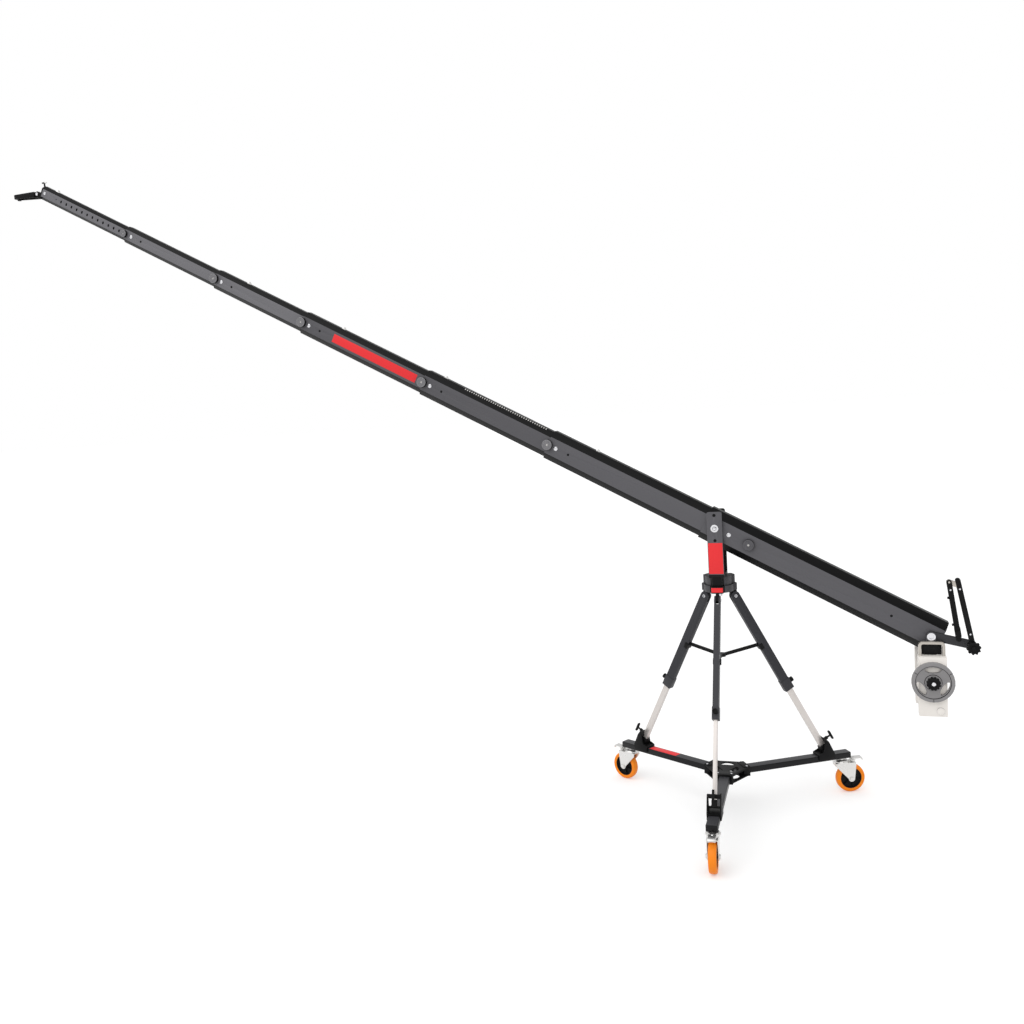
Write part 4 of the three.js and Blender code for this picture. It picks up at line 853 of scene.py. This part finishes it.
class CRANE_OT_monitor(bpy.types.Operator):
    """Build the rear arm, its rosette knob and the two folded monitor links"""
    bl_idname = "crane.monitor"
    bl_label = "Monitor Arm"

    def execute(self, context):
        arm = dressed("rear_arm", "cast_black", sizes().edge)
        # The face toward the camera, lighter as painted light
        zone(arm, "arm_top", lambda c, n: n.y < -STRAIGHT)
        lower = dressed("monitor_link_lower", "cast_black", sizes().edge)
        dressed("monitor_link_upper", "cast_black", sizes().edge)
        knob = JOINTS["rosette_knob_turn"]
        start = Vector((ROSETTE.x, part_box("rosette_knob")[1].y, ROSETTE.z))
        grip = lobed("rosette_knob_grip", 0.026, 10, 0.005, 0.016, 0.003)
        complete(grip, knob["child"], "nylon_black", standing(start, knob["axis"]),
                 ["rosette_knob"])
        centre = knob_centre("rosette_knob_centre", 0.0125)
        complete(centre, knob["child"], "nylon_black", standing(start, knob["axis"]))
        # The silver bar at the elbow
        elbow = Vector(JOINTS["monitor_upper_swing"]["pos_m"])
        middle = elbow + Vector((0.0155, 0, -0.011))
        zone(lower, "handle_silver", lambda c, n: n.y < -STRAIGHT and (c.xz - middle.xz).length < 0.021)
        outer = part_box("monitor_link_lower")[0].y
        for body, origin, lean, ups in (("monitor_lower", ROSETTE, 11, (0.052, 0.229)),
                                        ("monitor_upper", elbow, 8, (-0.03, -0.205))):
            along = Vector((-sin(radians(lean)), 0, cos(radians(lean))))
            for n, up in enumerate(ups):
                spot = origin + along * up
                spot.y = outer
                screw(f"{body}_rivet_{n}", 0.0034, 0.0012, spot, (0, -1, 0), body)
        return {'FINISHED'}


# Focal length in pixels, place from the tilt pivot, and the turns to the left, down and sideways
CAMERA = (970.2, (0.4888, -4.0405, 0.5403), radians(18.811), radians(6.09), radians(-3.735))
# Sensor width in millimetres and the photograph's width in pixels
SENSOR, FRAME_WIDTH = 36, 1024


class CRANE_OT_stage(bpy.types.Operator):
    """Lay the floor and set the light and the camera of the photograph's view"""
    bl_idname = "crane.stage"
    bl_label = "Floor, Light and Camera"

    def execute(self, context):
        stage = bpy.context.scene.crane_stage
        bpy.ops.object.select_all(action='DESELECT')
        bpy.ops.mesh.primitive_grid_add(x_subdivisions=12, y_subdivisions=12, size=stage.floor_size,
                                        location=(0, 0, -0.0002))
        floor = bpy.context.object
        floor.name = "floor"
        bpy.ops.object.transform_apply(location=True, rotation=True, scale=True)
        material = bpy.data.materials.new("matte_white_floor")
        material.use_nodes = True
        tree = material.node_tree
        tree.nodes.clear()
        ray = add(tree, "ShaderNodeLightPath").outputs
        seen = add(tree, "ShaderNodeMath", {"operation": 'MAXIMUM'}, {
            0: ray["Is Camera Ray"], 1: ray["Is Glossy Ray"]}).outputs[0]
        lift = add(tree, "ShaderNodeMath", {"operation": 'MULTIPLY'}, {
            0: seen, 1: stage.floor_glow}).outputs[0]
        plain = add(tree, "ShaderNodeBsdfDiffuse", sockets={"Color": (0.8, 0.8, 0.8, 1)}).outputs[0]
        glow = add(tree, "ShaderNodeEmission", sockets={"Color": (1, 1, 1, 1), "Strength": lift}).outputs[0]
        both = add(tree, "ShaderNodeAddShader", sockets={0: plain, 1: glow}).outputs[0]
        add(tree, "ShaderNodeOutputMaterial", sockets={"Surface": both})
        floor.data.materials.append(material)

        scene = bpy.context.scene
        scene.view_settings.view_transform = 'Standard'
        world = bpy.data.worlds.new("white_studio")
        scene.world = world
        world.use_nodes = True
        tree = world.node_tree
        tree.nodes.clear()
        ray = add(tree, "ShaderNodeLightPath").outputs
        seen = add(tree, "ShaderNodeMath", {"operation": 'MAXIMUM'}, {
            0: ray["Is Camera Ray"], 1: ray["Is Transmission Ray"]}).outputs[0]
        even = add(tree, "ShaderNodeBackground", sockets={
            "Color": (1, 1, 1, 1), "Strength": stage.world_light}).outputs[0]
        white = add(tree, "ShaderNodeBackground", sockets={"Color": (1, 1, 1, 1), "Strength": 1.0}).outputs[0]
        mixed = add(tree, "ShaderNodeMixShader", sockets={0: seen, 1: even, 2: white}).outputs[0]
        add(tree, "ShaderNodeOutputWorld", sockets={"Surface": mixed})

        lamp = bpy.data.lights.new("broad_light", 'SUN')
        lamp.angle = radians(70)
        lamp.energy = stage.key_light
        holder = bpy.data.objects.new("broad_light", lamp)
        scene.collection.objects.link(holder)
        holder.location = (-1.5, -3.5, 6.0)
        aim = Vector((0.3, 0.1, 0.8)) - holder.location
        holder.rotation_euler = aim.to_track_quat('-Z', 'Y').to_euler()

        focal, spot, yaw, pitch, roll = CAMERA
        ahead = Vector((-sin(yaw) * cos(pitch), cos(yaw) * cos(pitch), -sin(pitch)))
        right = Vector((cos(yaw), sin(yaw), 0))
        up = right.cross(ahead)
        x_axis = right * cos(roll) + up * sin(roll)
        y_axis = up * cos(roll) - right * sin(roll)
        camera = bpy.data.cameras.new("photograph_view")
        camera.sensor_width = SENSOR
        camera.lens = focal * SENSOR / FRAME_WIDTH
        camera.clip_end = 500
        eye = bpy.data.objects.new("photograph_view", camera)
        scene.collection.objects.link(eye)
        matrix = Matrix((x_axis, y_axis, -ahead)).transposed().to_4x4()
        matrix.translation = PIVOT + Vector(spot)
        eye.matrix_world = matrix
        scene.camera = eye
        return {'FINISHED'}


class CRANE_PT_panel(bpy.types.Panel):
    """Lists the pieces of the crane"""
    bl_idname = "CRANE_PT_panel"
    bl_label = "Camera Jib Crane"
    bl_space_type = 'VIEW_3D'
    bl_region_type = 'UI'
    bl_category = "Crane"

    def draw(self, context):
        for operator in OPERATORS:
            self.layout.operator(operator.bl_idname)
        for group in (context.scene.crane_sizes, context.scene.crane_colours, context.scene.crane_stage):
            for name in group.bl_rna.properties.keys():
                if name not in {"rna_type", "name"}:
                    self.layout.prop(group, name)


OPERATORS = (CRANE_OT_boom, CRANE_OT_clamps, CRANE_OT_head, CRANE_OT_tripod, CRANE_OT_dolly, CRANE_OT_casters,
             CRANE_OT_tip, CRANE_OT_weights, CRANE_OT_monitor, CRANE_OT_stage)
CLASSES = (CraneColours, CraneSizes, CraneStage) + OPERATORS + (CRANE_PT_panel,)


def register():
    for item in CLASSES:
        bpy.utils.register_class(item)
    bpy.types.Scene.crane_colours = PointerProperty(type=CraneColours)
    bpy.types.Scene.crane_sizes = PointerProperty(type=CraneSizes)
    bpy.types.Scene.crane_stage = PointerProperty(type=CraneStage)


def unregister():
    del bpy.types.Scene.crane_stage
    del bpy.types.Scene.crane_sizes
    del bpy.types.Scene.crane_colours
    for item in reversed(CLASSES):
        bpy.utils.unregister_class(item)


def main():
    register()
    bpy.ops.crane.boom()
    bpy.ops.crane.clamps()
    bpy.ops.crane.head()
    bpy.ops.crane.tripod()
    bpy.ops.crane.dolly()
    bpy.ops.crane.casters()
    bpy.ops.crane.tip()
    bpy.ops.crane.weights()
    bpy.ops.crane.monitor()
    bpy.ops.crane.stage()


if __name__ == "__main__":
    main()
